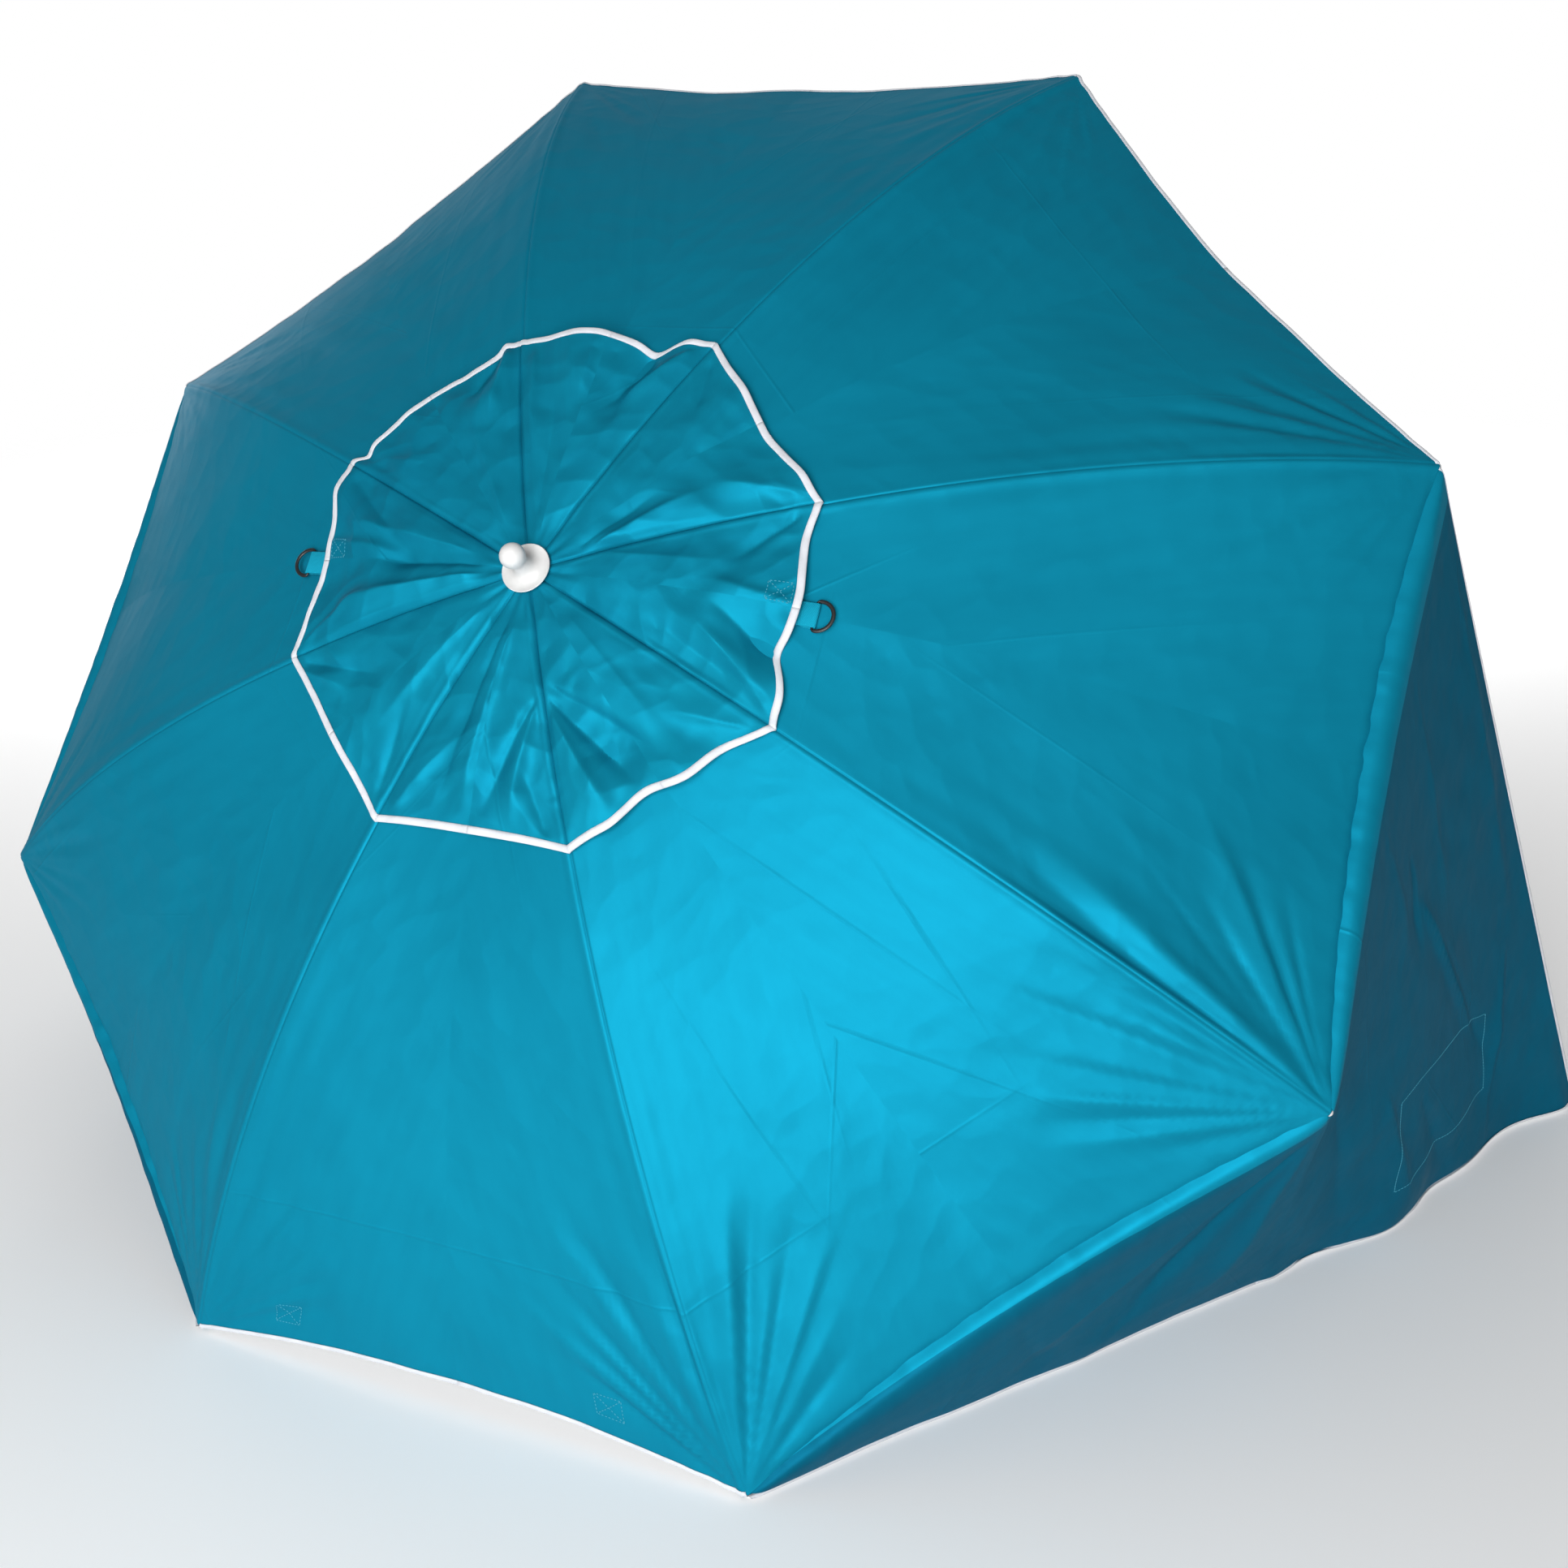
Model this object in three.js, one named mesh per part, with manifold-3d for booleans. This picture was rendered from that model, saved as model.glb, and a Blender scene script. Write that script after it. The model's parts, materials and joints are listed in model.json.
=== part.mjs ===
// Beach umbrella with side walls, set up as a low shelter: two rib tips and the foot of the pole
// rest on the ground, and a wall hangs from the canopy's hem on each side.
// Millimetres, +Z up. The origin is the foot of the pole, and the pole leans towards -Y.

import * as THREE from 'three';
import { mergeVertices } from 'three/addons/utils/BufferGeometryUtils.js';
import Module from 'manifold-3d';

const wasm = await Module();
wasm.setup();

// ---------------------------------------------------------------- driving dimensions

const RIB_COUNT = 8;
const TIP_RADIUS = 1000; // pole axis to the outer end of a rib seam
const CANOPY_RISE = 345; // plane of the rib tips up to where the rib arcs would cross the pole axis
const LEAN = THREE.MathUtils.degToRad(53.56); // the pole's lean from upright
const FABRIC = 1.2; // one sewn layer with its seam allowances
const GAP = 0.4; // clearance between pieces that touch on the real object
const HEM_SCOOP = 25; // how far the hem curves in between two tips
const GORE_SAG = 14; // how far a gore hollows between its ribs

const RIB_DROP = 7; // rib centreline below the fabric's inner face
const RIB_ROD = 2.6; // radius
const ROD_CLEAR = 0.7; // round the rod in its saddle and its tip cap
const HINGE_RADIUS = 26; // circle of the rib hinges on the crown
const EYE_RADIUS = 4.6;
const KNUCKLE_RADIUS = 426; // pole axis to the joint of rib and stretcher
const KNUCKLE_DROP = 9; // stretcher pivot below the rib centreline
const STRETCHER_THICK = 4;
const TIP_CAP_RADIUS = 4.8;

const UPPER_POLE = { radius: 16, bore: 14.4, length: 900 };
const LOWER_POLE = { radius: 12.7, bore: 11.5, top: 1140 };
const RUNNER_PIVOT_RADIUS = 30;
const RUNNER_DROP = 220; // crown hinges down to the runner's pivots, canopy open
const RUNNER_HALF = 18;

const CANOPY_OPENING = 170; // the vent's opening in the main canopy
const VENT_RADIUS = 338; // pole axis to the vent cap's hem at a rib
const VENT_LIFT = 10; // vent cap above the main canopy's inner face

const WALL_HEM = 765; // ground hem of one wall panel
const POCKET = { low: 0.14, high: 0.37, near: 0.25, far: 0.66, stand: 5 };
const STRAP = { radius: 318, length: 44, width: 29, height: 6.2, wall: 1.2 };
const RING = { inner: 15.3, bow: 4, bar: 2.6, straight: 4 };

// ---------------------------------------------------------------- worked out from them

const ARC_RADIUS = (TIP_RADIUS ** 2 + CANOPY_RISE ** 2) / (2 * CANOPY_RISE);
const ARC_CENTRE = CANOPY_RISE - ARC_RADIUS;
const TIP_ANGLE = Math.asin(TIP_RADIUS / ARC_RADIUS);
const HALF_GORE = Math.PI / RIB_COUNT;
const GORE = 2 * HALF_GORE;

// A point of a rib's arc in the rib's own plane, as [radius, height above the plane of the tips].
function arcPoint(angle, lift) {
  const reach = ARC_RADIUS + lift;
  return [reach * Math.sin(angle), ARC_CENTRE + reach * Math.cos(angle)];
}

const [CAP_RADIUS_OUT, CAP_HEIGHT] = arcPoint(TIP_ANGLE, -RIB_DROP);
// The leaning canopy stands on the two tips that are half a gore each side of straight down.
const TIPS_PLANE = (TIP_CAP_RADIUS + CAP_RADIUS_OUT * Math.cos(HALF_GORE) * Math.sin(LEAN))
  / Math.cos(LEAN) - CAP_HEIGHT;
const [, HINGE_HEIGHT] = arcPoint(Math.asin(HINGE_RADIUS / (ARC_RADIUS - RIB_DROP)), -RIB_DROP);
const CROWN = TIPS_PLANE + HINGE_HEIGHT; // height of the rib hinges along the pole

// ---------------------------------------------------------------- materials

const material = (color, roughness, metalness = 0) =>
  new THREE.MeshStandardMaterial({ color, roughness, metalness });
const TEAL = material(0x0b86a6, 0.45);
const TEAL_DARK = material(0x0a6080, 0.5);
const WHITE_PLASTIC = material(0xf1f1ee, 0.4);
const BLACK_PLASTIC = material(0x17181a, 0.45);
const GREY_PLASTIC = material(0x3b3f43, 0.5);
const GLASS_FIBRE = material(0xe6e6e0, 0.4);
const ZINC = material(0xb4b8bc, 0.35, 0.9);
const WHITE_STEEL = material(0xe9ebec, 0.35, 0.2);
const ALUMINIUM = material(0xc2c5c8, 0.3, 0.9);
const WEBBING = material(0x19b9cf, 0.7);

// ---------------------------------------------------------------- geometry helpers

function toSolid(geometry, matrix = new THREE.Matrix4()) {
  const bare = geometry.clone().applyMatrix4(matrix);
  bare.deleteAttribute('normal');
  bare.deleteAttribute('uv');
  const merged = mergeVertices(bare, 1e-4);
  const vertProperties = new Float32Array(merged.attributes.position.array);
  const triVerts = new Uint32Array(merged.index.array);
  return new wasm.Manifold(new wasm.Mesh({ numProp: 3, vertProperties, triVerts }));
}

function fromSolid(solid) {
  const mesh = solid.getMesh();
  const geometry = new THREE.BufferGeometry();
  geometry.setAttribute('position', new THREE.BufferAttribute(mesh.vertProperties, 3));
  geometry.setIndex(new THREE.BufferAttribute(mesh.triVerts, 1));
  geometry.computeVertexNormals();
  return geometry;
}

// A thin closed shell between two surfaces given as functions of (u, v), each from 0 to 1.
function shell(outer, inner, across, along, closedAcross = false) {
  const positions = [];
  const columns = closedAcross ? across : across + 1;
  for (const surface of [outer, inner]) {
    for (let j = 0; j <= along; j += 1) {
      for (let i = 0; i < columns; i += 1) positions.push(...surface(i / across, j / along));
    }
  }
  const layer = columns * (along + 1);
  const at = (side, i, j) => side * layer + j * columns + (i % columns);
  const index = [];
  const quad = (a, b, c, d) => index.push(a, b, c, a, c, d);
  for (let j = 0; j < along; j += 1) {
    for (let i = 0; i < across; i += 1) {
      quad(at(0, i, j), at(0, i + 1, j), at(0, i + 1, j + 1), at(0, i, j + 1));
      quad(at(1, i, j), at(1, i, j + 1), at(1, i + 1, j + 1), at(1, i + 1, j));
    }
    if (!closedAcross) {
      quad(at(0, 0, j), at(0, 0, j + 1), at(1, 0, j + 1), at(1, 0, j));
      quad(at(0, across, j), at(1, across, j), at(1, across, j + 1), at(0, across, j + 1));
    }
  }
  for (let i = 0; i < across; i += 1) {
    quad(at(0, i, 0), at(1, i, 0), at(1, i + 1, 0), at(0, i + 1, 0));
    quad(at(0, i, along), at(0, i + 1, along), at(1, i + 1, along), at(1, i, along));
  }
  const geometry = new THREE.BufferGeometry();
  geometry.setAttribute('position', new THREE.Float32BufferAttribute(positions, 3));
  geometry.setIndex(index);
  return facingOut(geometry);
}

function signedVolume(geometry) {
  const points = geometry.attributes.position;
  const corner = [new THREE.Vector3(), new THREE.Vector3(), new THREE.Vector3()];
  let volume = 0;
  for (let k = 0; k < geometry.index.count; k += 3) {
    corner.forEach((vertex, n) => vertex.fromBufferAttribute(points, geometry.index.getX(k + n)));
    volume += corner[0].dot(corner[1].cross(corner[2])) / 6;
  }
  return volume;
}

function facingOut(geometry) {
  if (signedVolume(geometry) < 0) {
    const index = geometry.index.array;
    for (let k = 0; k < index.length; k += 3) [index[k], index[k + 1]] = [index[k + 1], index[k]];
  }
  geometry.computeVertexNormals();
  return geometry;
}

// A turned piece: profile points are [radius, height], starting and ending on the axis or closed.
function turned(profile, sides = 24) {
  const lathe = new THREE.LatheGeometry(profile.map(([r, z]) => new THREE.Vector2(r, z)), sides);
  lathe.rotateX(Math.PI / 2);
  const solid = toSolid(lathe);
  return fromSolid(solid);
}

const tube = (radius, bore, low, high, sides = 28) =>
  turned([[bore, low], [radius, low], [radius, high], [bore, high], [bore, low]], sides);

// An outline in the XZ plane, given depth along Y and centred on it.
function plate(shape, depth, curveSegments = 6) {
  const geometry = new THREE.ExtrudeGeometry(shape, { depth, bevelEnabled: false, curveSegments });
  geometry.translate(0, 0, -depth / 2);
  geometry.rotateX(Math.PI / 2);
  return geometry;
}

function box(x0, x1, y0, y1, z0, z1) {
  const geometry = new THREE.BoxGeometry(x1 - x0, y1 - y0, z1 - z0);
  geometry.translate((x0 + x1) / 2, (y0 + y1) / 2, (z0 + z1) / 2);
  return geometry;
}

const group = new THREE.Group();
const poleGroup = new THREE.Group(); // along the pole, from its foot
poleGroup.rotation.x = LEAN;
const tipsGroup = new THREE.Group(); // the plane of the rib tips
tipsGroup.position.z = TIPS_PLANE;
poleGroup.add(tipsGroup);
group.add(poleGroup);

function addPiece(parent, name, geometry, look) {
  const mesh = new THREE.Mesh(geometry, look);
  mesh.name = name;
  parent.add(mesh);
  return mesh;
}

// ---------------------------------------------------------------- pole

function addPole() {
  const upperLow = CROWN - UPPER_POLE.length;
  const catchTop = CROWN - RUNNER_DROP - RUNNER_HALF - 1;
  const catchHeight = 10;
  const upper = toSolid(tube(UPPER_POLE.radius, UPPER_POLE.bore, upperLow, CROWN - 12));
  const window = toSolid(box(0, 20, -2.6, 2.6, catchTop - catchHeight - 0.6, catchTop + 0.6));
  addPiece(poleGroup, 'upper_pole', fromSolid(upper.subtract(window)), WHITE_STEEL);
  const lowerTube = tube(LOWER_POLE.radius, LOWER_POLE.bore, 60, LOWER_POLE.top);
  addPiece(poleGroup, 'lower_pole', lowerTube, WHITE_STEEL);

  // The sprung catch is a wedge that stands out of the upper pole just below the runner.
  const wedge = new THREE.Shape();
  wedge.moveTo(13.2, catchTop - catchHeight);
  wedge.lineTo(16.2, catchTop - catchHeight);
  wedge.lineTo(20, catchTop - 1.5);
  wedge.lineTo(20, catchTop);
  wedge.lineTo(13.2, catchTop);
  addPiece(poleGroup, 'runner_catch', plate(wedge, 4.4), ZINC);

  // Blunt spike: a plug in the lower pole, a shoulder and a taper down to a flat end.
  const spike = [[0, 0], [5, 0], [12.7, 52], [12.7, 59.6], [11.1, 59.6], [11.1, 95], [0, 95]];
  addPiece(poleGroup, 'sand_spike', turned(spike), GREY_PLASTIC);

  // Split clamp on the upper pole's lower end, with a boss for the screw on its upper side.
  const clampLow = upperLow - 22;
  const collar = [[13.1, clampLow], [20, clampLow], [21, upperLow + 30], [16.4, upperLow + 30],
    [16.4, upperLow - 0.4], [13.1, upperLow - 0.4], [13.1, clampLow]];
  const bossAxis = upperLow - 11;
  const alongY = new THREE.Matrix4().makeRotationX(-Math.PI / 2);
  alongY.setPosition(0, 17, bossAxis);
  const boss = toSolid(new THREE.CylinderGeometry(8, 8, 16, 16).rotateX(Math.PI / 2), alongY);
  const bore = toSolid(new THREE.CylinderGeometry(3.4, 3.4, 30, 12).rotateX(Math.PI / 2), alongY);
  const inside = toSolid(new THREE.CylinderGeometry(13.1, 13.1, 60, 28).rotateX(Math.PI / 2),
    new THREE.Matrix4().makeTranslation(0, 0, bossAxis));
  const clamp = toSolid(turned(collar)).add(boss).subtract(bore).subtract(inside);
  addPiece(poleGroup, 'pole_clamp', fromSolid(clamp), BLACK_PLASTIC);

  // Clamp screw: shank through the boss and a wing head outside it.
  const shank = toSolid(new THREE.CylinderGeometry(3, 3, 17, 12));
  const shankIn = shank.translate([0, 13.4 + 8.5, 0]);
  const head = toSolid(new THREE.CylinderGeometry(7, 7, 7, 16)).translate([0, 25.6 + 3.5, 0]);
  const wing = toSolid(box(-19, 19, 28, 38, -2.2, 2.2));
  const screw = fromSolid(shankIn.add(head).add(wing));
  addPiece(poleGroup, 'clamp_screw', screw, BLACK_PLASTIC).position.z = bossAxis;
}

// ---------------------------------------------------------------- crown, finial and runner

// A hub on the pole with one open slot for each rib or stretcher eye.
function slottedHub(profile, slotFrom, slotWidth, low, high) {
  let hub = toSolid(turned(profile, 32));
  for (let k = 0; k < RIB_COUNT; k += 1) {
    const turn = new THREE.Matrix4().makeRotationZ(HALF_GORE + k * GORE);
    const slot = box(slotFrom, 60, -slotWidth / 2, slotWidth / 2, low, high);
    hub = hub.subtract(toSolid(slot, turn));
  }
  return fromSolid(hub);
}

function addCrownAndRunner() {
  const socket = UPPER_POLE.radius + GAP;
  const crown = [[0, CROWN - 11.6], [socket, CROWN - 11.6], [socket, CROWN - 30], [20.4, CROWN - 30],
    [20.4, CROWN - 9], [34, CROWN - 9], [34, CROWN + 5], [24, CROWN + 9], [5.4, CROWN + 9], [5.4, CROWN - 6],
    [0, CROWN - 6]];
  const hub = slottedHub(crown, HINGE_RADIUS - EYE_RADIUS - 0.6, 2 * RIB_ROD + 1, CROWN - 20, CROWN + 20);
  addPiece(poleGroup, 'crown_hub', hub, BLACK_PLASTIC);

  const seat = TIPS_PLANE + CANOPY_RISE + VENT_LIFT + FABRIC + GAP;
  const finial = [[0, CROWN - 5.4], [5, CROWN - 5.4], [5, seat],
    [16, seat], [27, seat + 1.5], [30, seat + 4.5], [28.6, seat + 5.6], [21, seat + 4.8],
    [14, seat + 8.5], [10.5, seat + 15], [10, seat + 21], [12, seat + 27], [14.6, seat + 33],
    [15, seat + 37.5], [13.2, seat + 44], [8.4, seat + 49.4], [0, seat + 51.6]];
  addPiece(poleGroup, 'finial', turned(finial, 28), WHITE_PLASTIC);

  const pivot = CROWN - RUNNER_DROP;
  const bore = UPPER_POLE.radius + GAP;
  const runner = [[bore, pivot - RUNNER_HALF], [22.5, pivot - RUNNER_HALF], [24, pivot - 9], [38, pivot - 7],
    [38, pivot + 7], [24, pivot + 9], [22.5, pivot + RUNNER_HALF], [bore, pivot + RUNNER_HALF],
    [bore, pivot - RUNNER_HALF]];
  const slotFrom = RUNNER_PIVOT_RADIUS - EYE_RADIUS - 0.8;
  const body = slottedHub(runner, slotFrom, STRETCHER_THICK + 1.2, pivot - 15, pivot + 15);
  addPiece(poleGroup, 'runner', body, BLACK_PLASTIC);
}

// ---------------------------------------------------------------- ribs and stretchers

const RIB_ARC = ARC_RADIUS - RIB_DROP;
const KNUCKLE_ANGLE = Math.asin(KNUCKLE_RADIUS / RIB_ARC);

// The rib is a round rod bent to the canopy's arc, with a flat-sided eye at the crown.
function ribGeometry() {
  const start = Math.asin(HINGE_RADIUS / RIB_ARC);
  const end = TIP_ANGLE - 1 / RIB_ARC;
  class RibArc extends THREE.Curve {
    getPoint(t, target = new THREE.Vector3()) {
      const [x, z] = arcPoint(start + (end - start) * t, -RIB_DROP);
      return target.set(x, 0, z);
    }
  }
  const section = new THREE.Shape();
  for (let k = 0; k < 6; k += 1) {
    const a = (k + 0.5) * Math.PI / 3;
    section[k ? 'lineTo' : 'moveTo'](RIB_ROD * Math.cos(a), RIB_ROD * Math.sin(a));
  }
  const along = { steps: 15, extrudePath: new RibArc(), bevelEnabled: false };
  const rod = new THREE.ExtrudeGeometry(section, along);
  const eye = new THREE.CylinderGeometry(EYE_RADIUS, EYE_RADIUS, 2 * RIB_ROD, 12);
  return fromSolid(toSolid(rod).add(toSolid(eye).translate([HINGE_RADIUS, 0, HINGE_HEIGHT])));
}

function knuckleFrame() {
  const [x, z] = arcPoint(KNUCKLE_ANGLE, -RIB_DROP);
  const frame = new THREE.Matrix4().makeRotationY(KNUCKLE_ANGLE);
  frame.setPosition(x, 0, z);
  return frame;
}

// Saddle clipped round the rib, with two ears that hold the stretcher's eye between them.
function knuckleGeometry() {
  const half = 5.2;
  const slot = STRETCHER_THICK / 2 + 0.5;
  const floor = -(KNUCKLE_DROP + EYE_RADIUS + 1);
  const saddle = new THREE.Shape();
  saddle.moveTo(-half, -2);
  saddle.lineTo(-3, 4.1);
  saddle.lineTo(3, 4.1);
  saddle.lineTo(half, -2);
  saddle.lineTo(half, floor);
  saddle.lineTo(slot, floor);
  saddle.lineTo(slot, -4.3);
  saddle.lineTo(-slot, -4.3);
  saddle.lineTo(-slot, floor);
  saddle.lineTo(-half, floor);
  const hole = new THREE.Path();
  hole.absarc(0, 0, RIB_ROD + ROD_CLEAR, 0, 2 * Math.PI);
  saddle.holes.push(hole);
  const depth = 16;
  const geometry = new THREE.ExtrudeGeometry(saddle, { depth, bevelEnabled: false, curveSegments: 5 });
  geometry.translate(0, 0, -depth / 2);
  // The outline's x runs across the rib, its y along the rib's normal, and the depth along the rib.
  const axes = new THREE.Matrix4().makeBasis(
    new THREE.Vector3(0, 1, 0), new THREE.Vector3(0, 0, 1), new THREE.Vector3(1, 0, 0));
  return geometry.applyMatrix4(axes).applyMatrix4(knuckleFrame());
}

// A flat bar with round eyes, from the knuckle's pivot to the runner's.
function stretcherGeometry() {
  const from = new THREE.Vector3(0, 0, -KNUCKLE_DROP).applyMatrix4(knuckleFrame());
  const to = new THREE.Vector3(RUNNER_PIVOT_RADIUS, 0, HINGE_HEIGHT - RUNNER_DROP);
  const length = from.distanceTo(to);
  const waist = 3;
  const bend = Math.asin(waist / EYE_RADIUS);
  const bar = new THREE.Shape();
  bar.absarc(0, 0, EYE_RADIUS, bend, 2 * Math.PI - bend);
  bar.absarc(length, 0, EYE_RADIUS, Math.PI + bend, 3 * Math.PI - bend);
  const geometry = plate(bar, STRETCHER_THICK);
  geometry.rotateY(-Math.atan2(to.z - from.z, to.x - from.x));
  geometry.translate(from.x, 0, from.z);
  return geometry;
}

// White cap over the rib's end, with a blind bore and a domed outer end.
function tipCapGeometry() {
  const bore = RIB_ROD + ROD_CLEAR;
  const profile = [[0, -0.6], [bore, -0.6], [bore, -22], [TIP_CAP_RADIUS - 0.6, -22], [TIP_CAP_RADIUS, -20],
    [TIP_CAP_RADIUS, 2], [TIP_CAP_RADIUS * 0.8, 5], [TIP_CAP_RADIUS * 0.4, 6.6], [0, 7]];
  const cap = turned(profile, 12);
  cap.rotateY(Math.PI / 2 + TIP_ANGLE);
  cap.translate(CAP_RADIUS_OUT, 0, CAP_HEIGHT);
  return cap;
}

// ---------------------------------------------------------------- canopy

// A point of the canopy: t is measured in gores from the rib at azimuth 0, down from the crown by s.
function canopyPoint(s, t, lift, inner, outer, scoop) {
  const side = Math.sign(t) || 1;
  const part = Math.abs(t);
  const curve = 4 * part * (1 - part);
  const first = Math.asin(inner / ARC_RADIUS);
  const last = Math.asin(outer / ARC_RADIUS) - scoop * curve / ARC_RADIUS;
  const angle = first + (last - first) * s;
  const sag = GORE_SAG * curve * Math.min(1, angle / TIP_ANGLE);
  const [r, z] = arcPoint(angle, lift - sag);
  const x = r * (1 - part + part * Math.cos(GORE));
  return [x, side * r * part * Math.sin(GORE), z];
}

function canopySectorGeometry() {
  const surface = (lift) => (u, v) => {
    const width = 2 * Math.sin(HALF_GORE) * (CANOPY_OPENING + (TIP_RADIUS - CANOPY_OPENING) * v);
    const t = (2 * u - 1) * (0.5 - GAP / 2 / width);
    return canopyPoint(v, t, lift, CANOPY_OPENING, TIP_RADIUS, HEM_SCOOP);
  };
  return shell(surface(FABRIC), surface(0), 4, 12);
}

// The vent cap is one sewn cap of eight small gores over the opening.
function ventCapGeometry() {
  const surface = (lift) => (u, v) => {
    const turn = u * RIB_COUNT;
    const rib = Math.round(turn);
    const [x, y, z] = canopyPoint(v, turn - rib, lift, 9, VENT_RADIUS, 8);
    const a = HALF_GORE + rib * GORE;
    return [x * Math.cos(a) - y * Math.sin(a), x * Math.sin(a) + y * Math.cos(a), z];
  };
  return shell(surface(VENT_LIFT + FABRIC), surface(VENT_LIFT), 4 * RIB_COUNT, 6, true);
}

function addSpokes() {
  const shapes = { rib: ribGeometry(), stretcher: stretcherGeometry(), rib_joint: knuckleGeometry(),
    rib_tip: tipCapGeometry(), canopy_sector: canopySectorGeometry() };
  const looks = { rib: GLASS_FIBRE, stretcher: ZINC, rib_joint: BLACK_PLASTIC, rib_tip: WHITE_PLASTIC,
    canopy_sector: TEAL };
  for (let k = 1; k <= RIB_COUNT; k += 1) {
    const spoke = new THREE.Group();
    spoke.rotation.z = HALF_GORE - (k - 1) * GORE;
    tipsGroup.add(spoke);
    for (const [kind, geometry] of Object.entries(shapes)) {
      addPiece(spoke, `${kind}_${k}`, geometry, looks[kind]);
    }
  }
  addPiece(tipsGroup, 'vent_cap', ventCapGeometry(), TEAL);
}

// ---------------------------------------------------------------- side walls

const poleWay = new THREE.Vector3(0, 0, 1).applyAxisAngle(new THREE.Vector3(1, 0, 0), LEAN);

// Places where a wall is sewn to the canopy: the tips of ribs 1, 2 and 3 on the right side.
function hemCorner(rib) {
  const a = HALF_GORE - (rib - 1) * GORE;
  const onPole = new THREE.Vector3(TIP_RADIUS * Math.cos(a), TIP_RADIUS * Math.sin(a), TIPS_PLANE);
  return onPole.applyAxisAngle(new THREE.Vector3(1, 0, 0), LEAN);
}

const CORNERS = [1, 2, 3].map(hemCorner);
const [FRONT_TIP, SIDE_TIP, GROUND_TIP] = CORNERS;

// The wall's lower hem lies straight along the ground from the tip that stands on it.
const HEM_AZIMUTH = THREE.MathUtils.degToRad(58.3);
const HEM_WAY = new THREE.Vector3(Math.cos(HEM_AZIMUTH), Math.sin(HEM_AZIMUTH), 0);
const GROUND_START = new THREE.Vector3(GROUND_TIP.x, GROUND_TIP.y, 0);
const PANEL_SEAM_FOOT = GROUND_START.clone().addScaledVector(HEM_WAY, WALL_HEM);
const WALL_CORNER = GROUND_START.clone().addScaledVector(HEM_WAY, 2 * WALL_HEM);
const HEM_CLEAR = 15; // the wall's top edge below the canopy's hem
const CORNER_CLEAR = 16; // the wall's top edge short of each rib tip

// The patch from a top edge that follows the scooped hem to a straight lower edge. It bulges outwards.
function wallPanel(topA, topB, lowA, lowB, bulge) {
  const down = new THREE.Vector3().subVectors(lowA, topA);
  const outward = new THREE.Vector3().subVectors(topB, topA).cross(down);
  outward.normalize();
  if (outward.x < 0) outward.negate();
  const hemMiddle = new THREE.Vector3().lerpVectors(topA, topB, 0.5);
  const inward = poleWay.clone().multiplyScalar(hemMiddle.dot(poleWay)).sub(hemMiddle).normalize();
  const surface = (lift) => (u, v) => {
    const top = new THREE.Vector3().lerpVectors(topA, topB, u);
    top.addScaledVector(inward, HEM_SCOOP * 4 * u * (1 - u));
    const low = new THREE.Vector3().lerpVectors(lowA, lowB, u);
    const swell = bulge * 16 * u * (1 - u) * v * (1 - v);
    const point = top.lerp(low, v).addScaledVector(outward, swell + lift);
    return [point.x, point.y, point.z];
  };
  return { geometry: shell(surface(FABRIC), surface(0), 6, 6), surface, outward };
}

function topEdge(from, to) {
  const way = new THREE.Vector3().subVectors(to, from).normalize();
  const drop = poleWay.clone().multiplyScalar(-HEM_CLEAR);
  return [from.clone().addScaledVector(way, CORNER_CLEAR).add(drop),
    to.clone().addScaledVector(way, -CORNER_CLEAR).add(drop)];
}

// The right-hand wall; the left-hand one is its mirror image.
function addWalls() {
  const lift = new THREE.Vector3(0, 0, 1);
  const seamShift = HEM_WAY.clone().multiplyScalar(GAP);
  const [frontA, frontB] = topEdge(FRONT_TIP, SIDE_TIP);
  const front = wallPanel(frontA, frontB, WALL_CORNER.clone().add(lift),
    PANEL_SEAM_FOOT.clone().add(lift).add(seamShift), 24);
  const [rearA, rearB] = topEdge(SIDE_TIP, GROUND_TIP);
  const rearFoot = GROUND_START.clone().addScaledVector(HEM_WAY, CORNER_CLEAR + 12).add(lift);
  const rear = wallPanel(rearA, rearB, PANEL_SEAM_FOOT.clone().add(lift).sub(seamShift), rearFoot, 10);

  const patch = (stand) => (u, v) => front.surface(stand)(
    POCKET.near + (POCKET.far - POCKET.near) * u, 1 - POCKET.high + (POCKET.high - POCKET.low) * v);
  const pocket = shell(patch(-POCKET.stand), patch(-POCKET.stand - FABRIC), 4, 4);

  const pieces = { wall_front: front.geometry, wall_rear: rear.geometry, wall_pocket: pocket };
  for (const [name, geometry] of Object.entries(pieces)) {
    addPiece(group, `${name}_right`, geometry, TEAL_DARK);
    const mirrored = geometry.clone().scale(-1, 1, 1);
    addPiece(group, `${name}_left`, facingOut(mirrored), TEAL_DARK);
  }
}

// ---------------------------------------------------------------- tie-down rings

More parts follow.
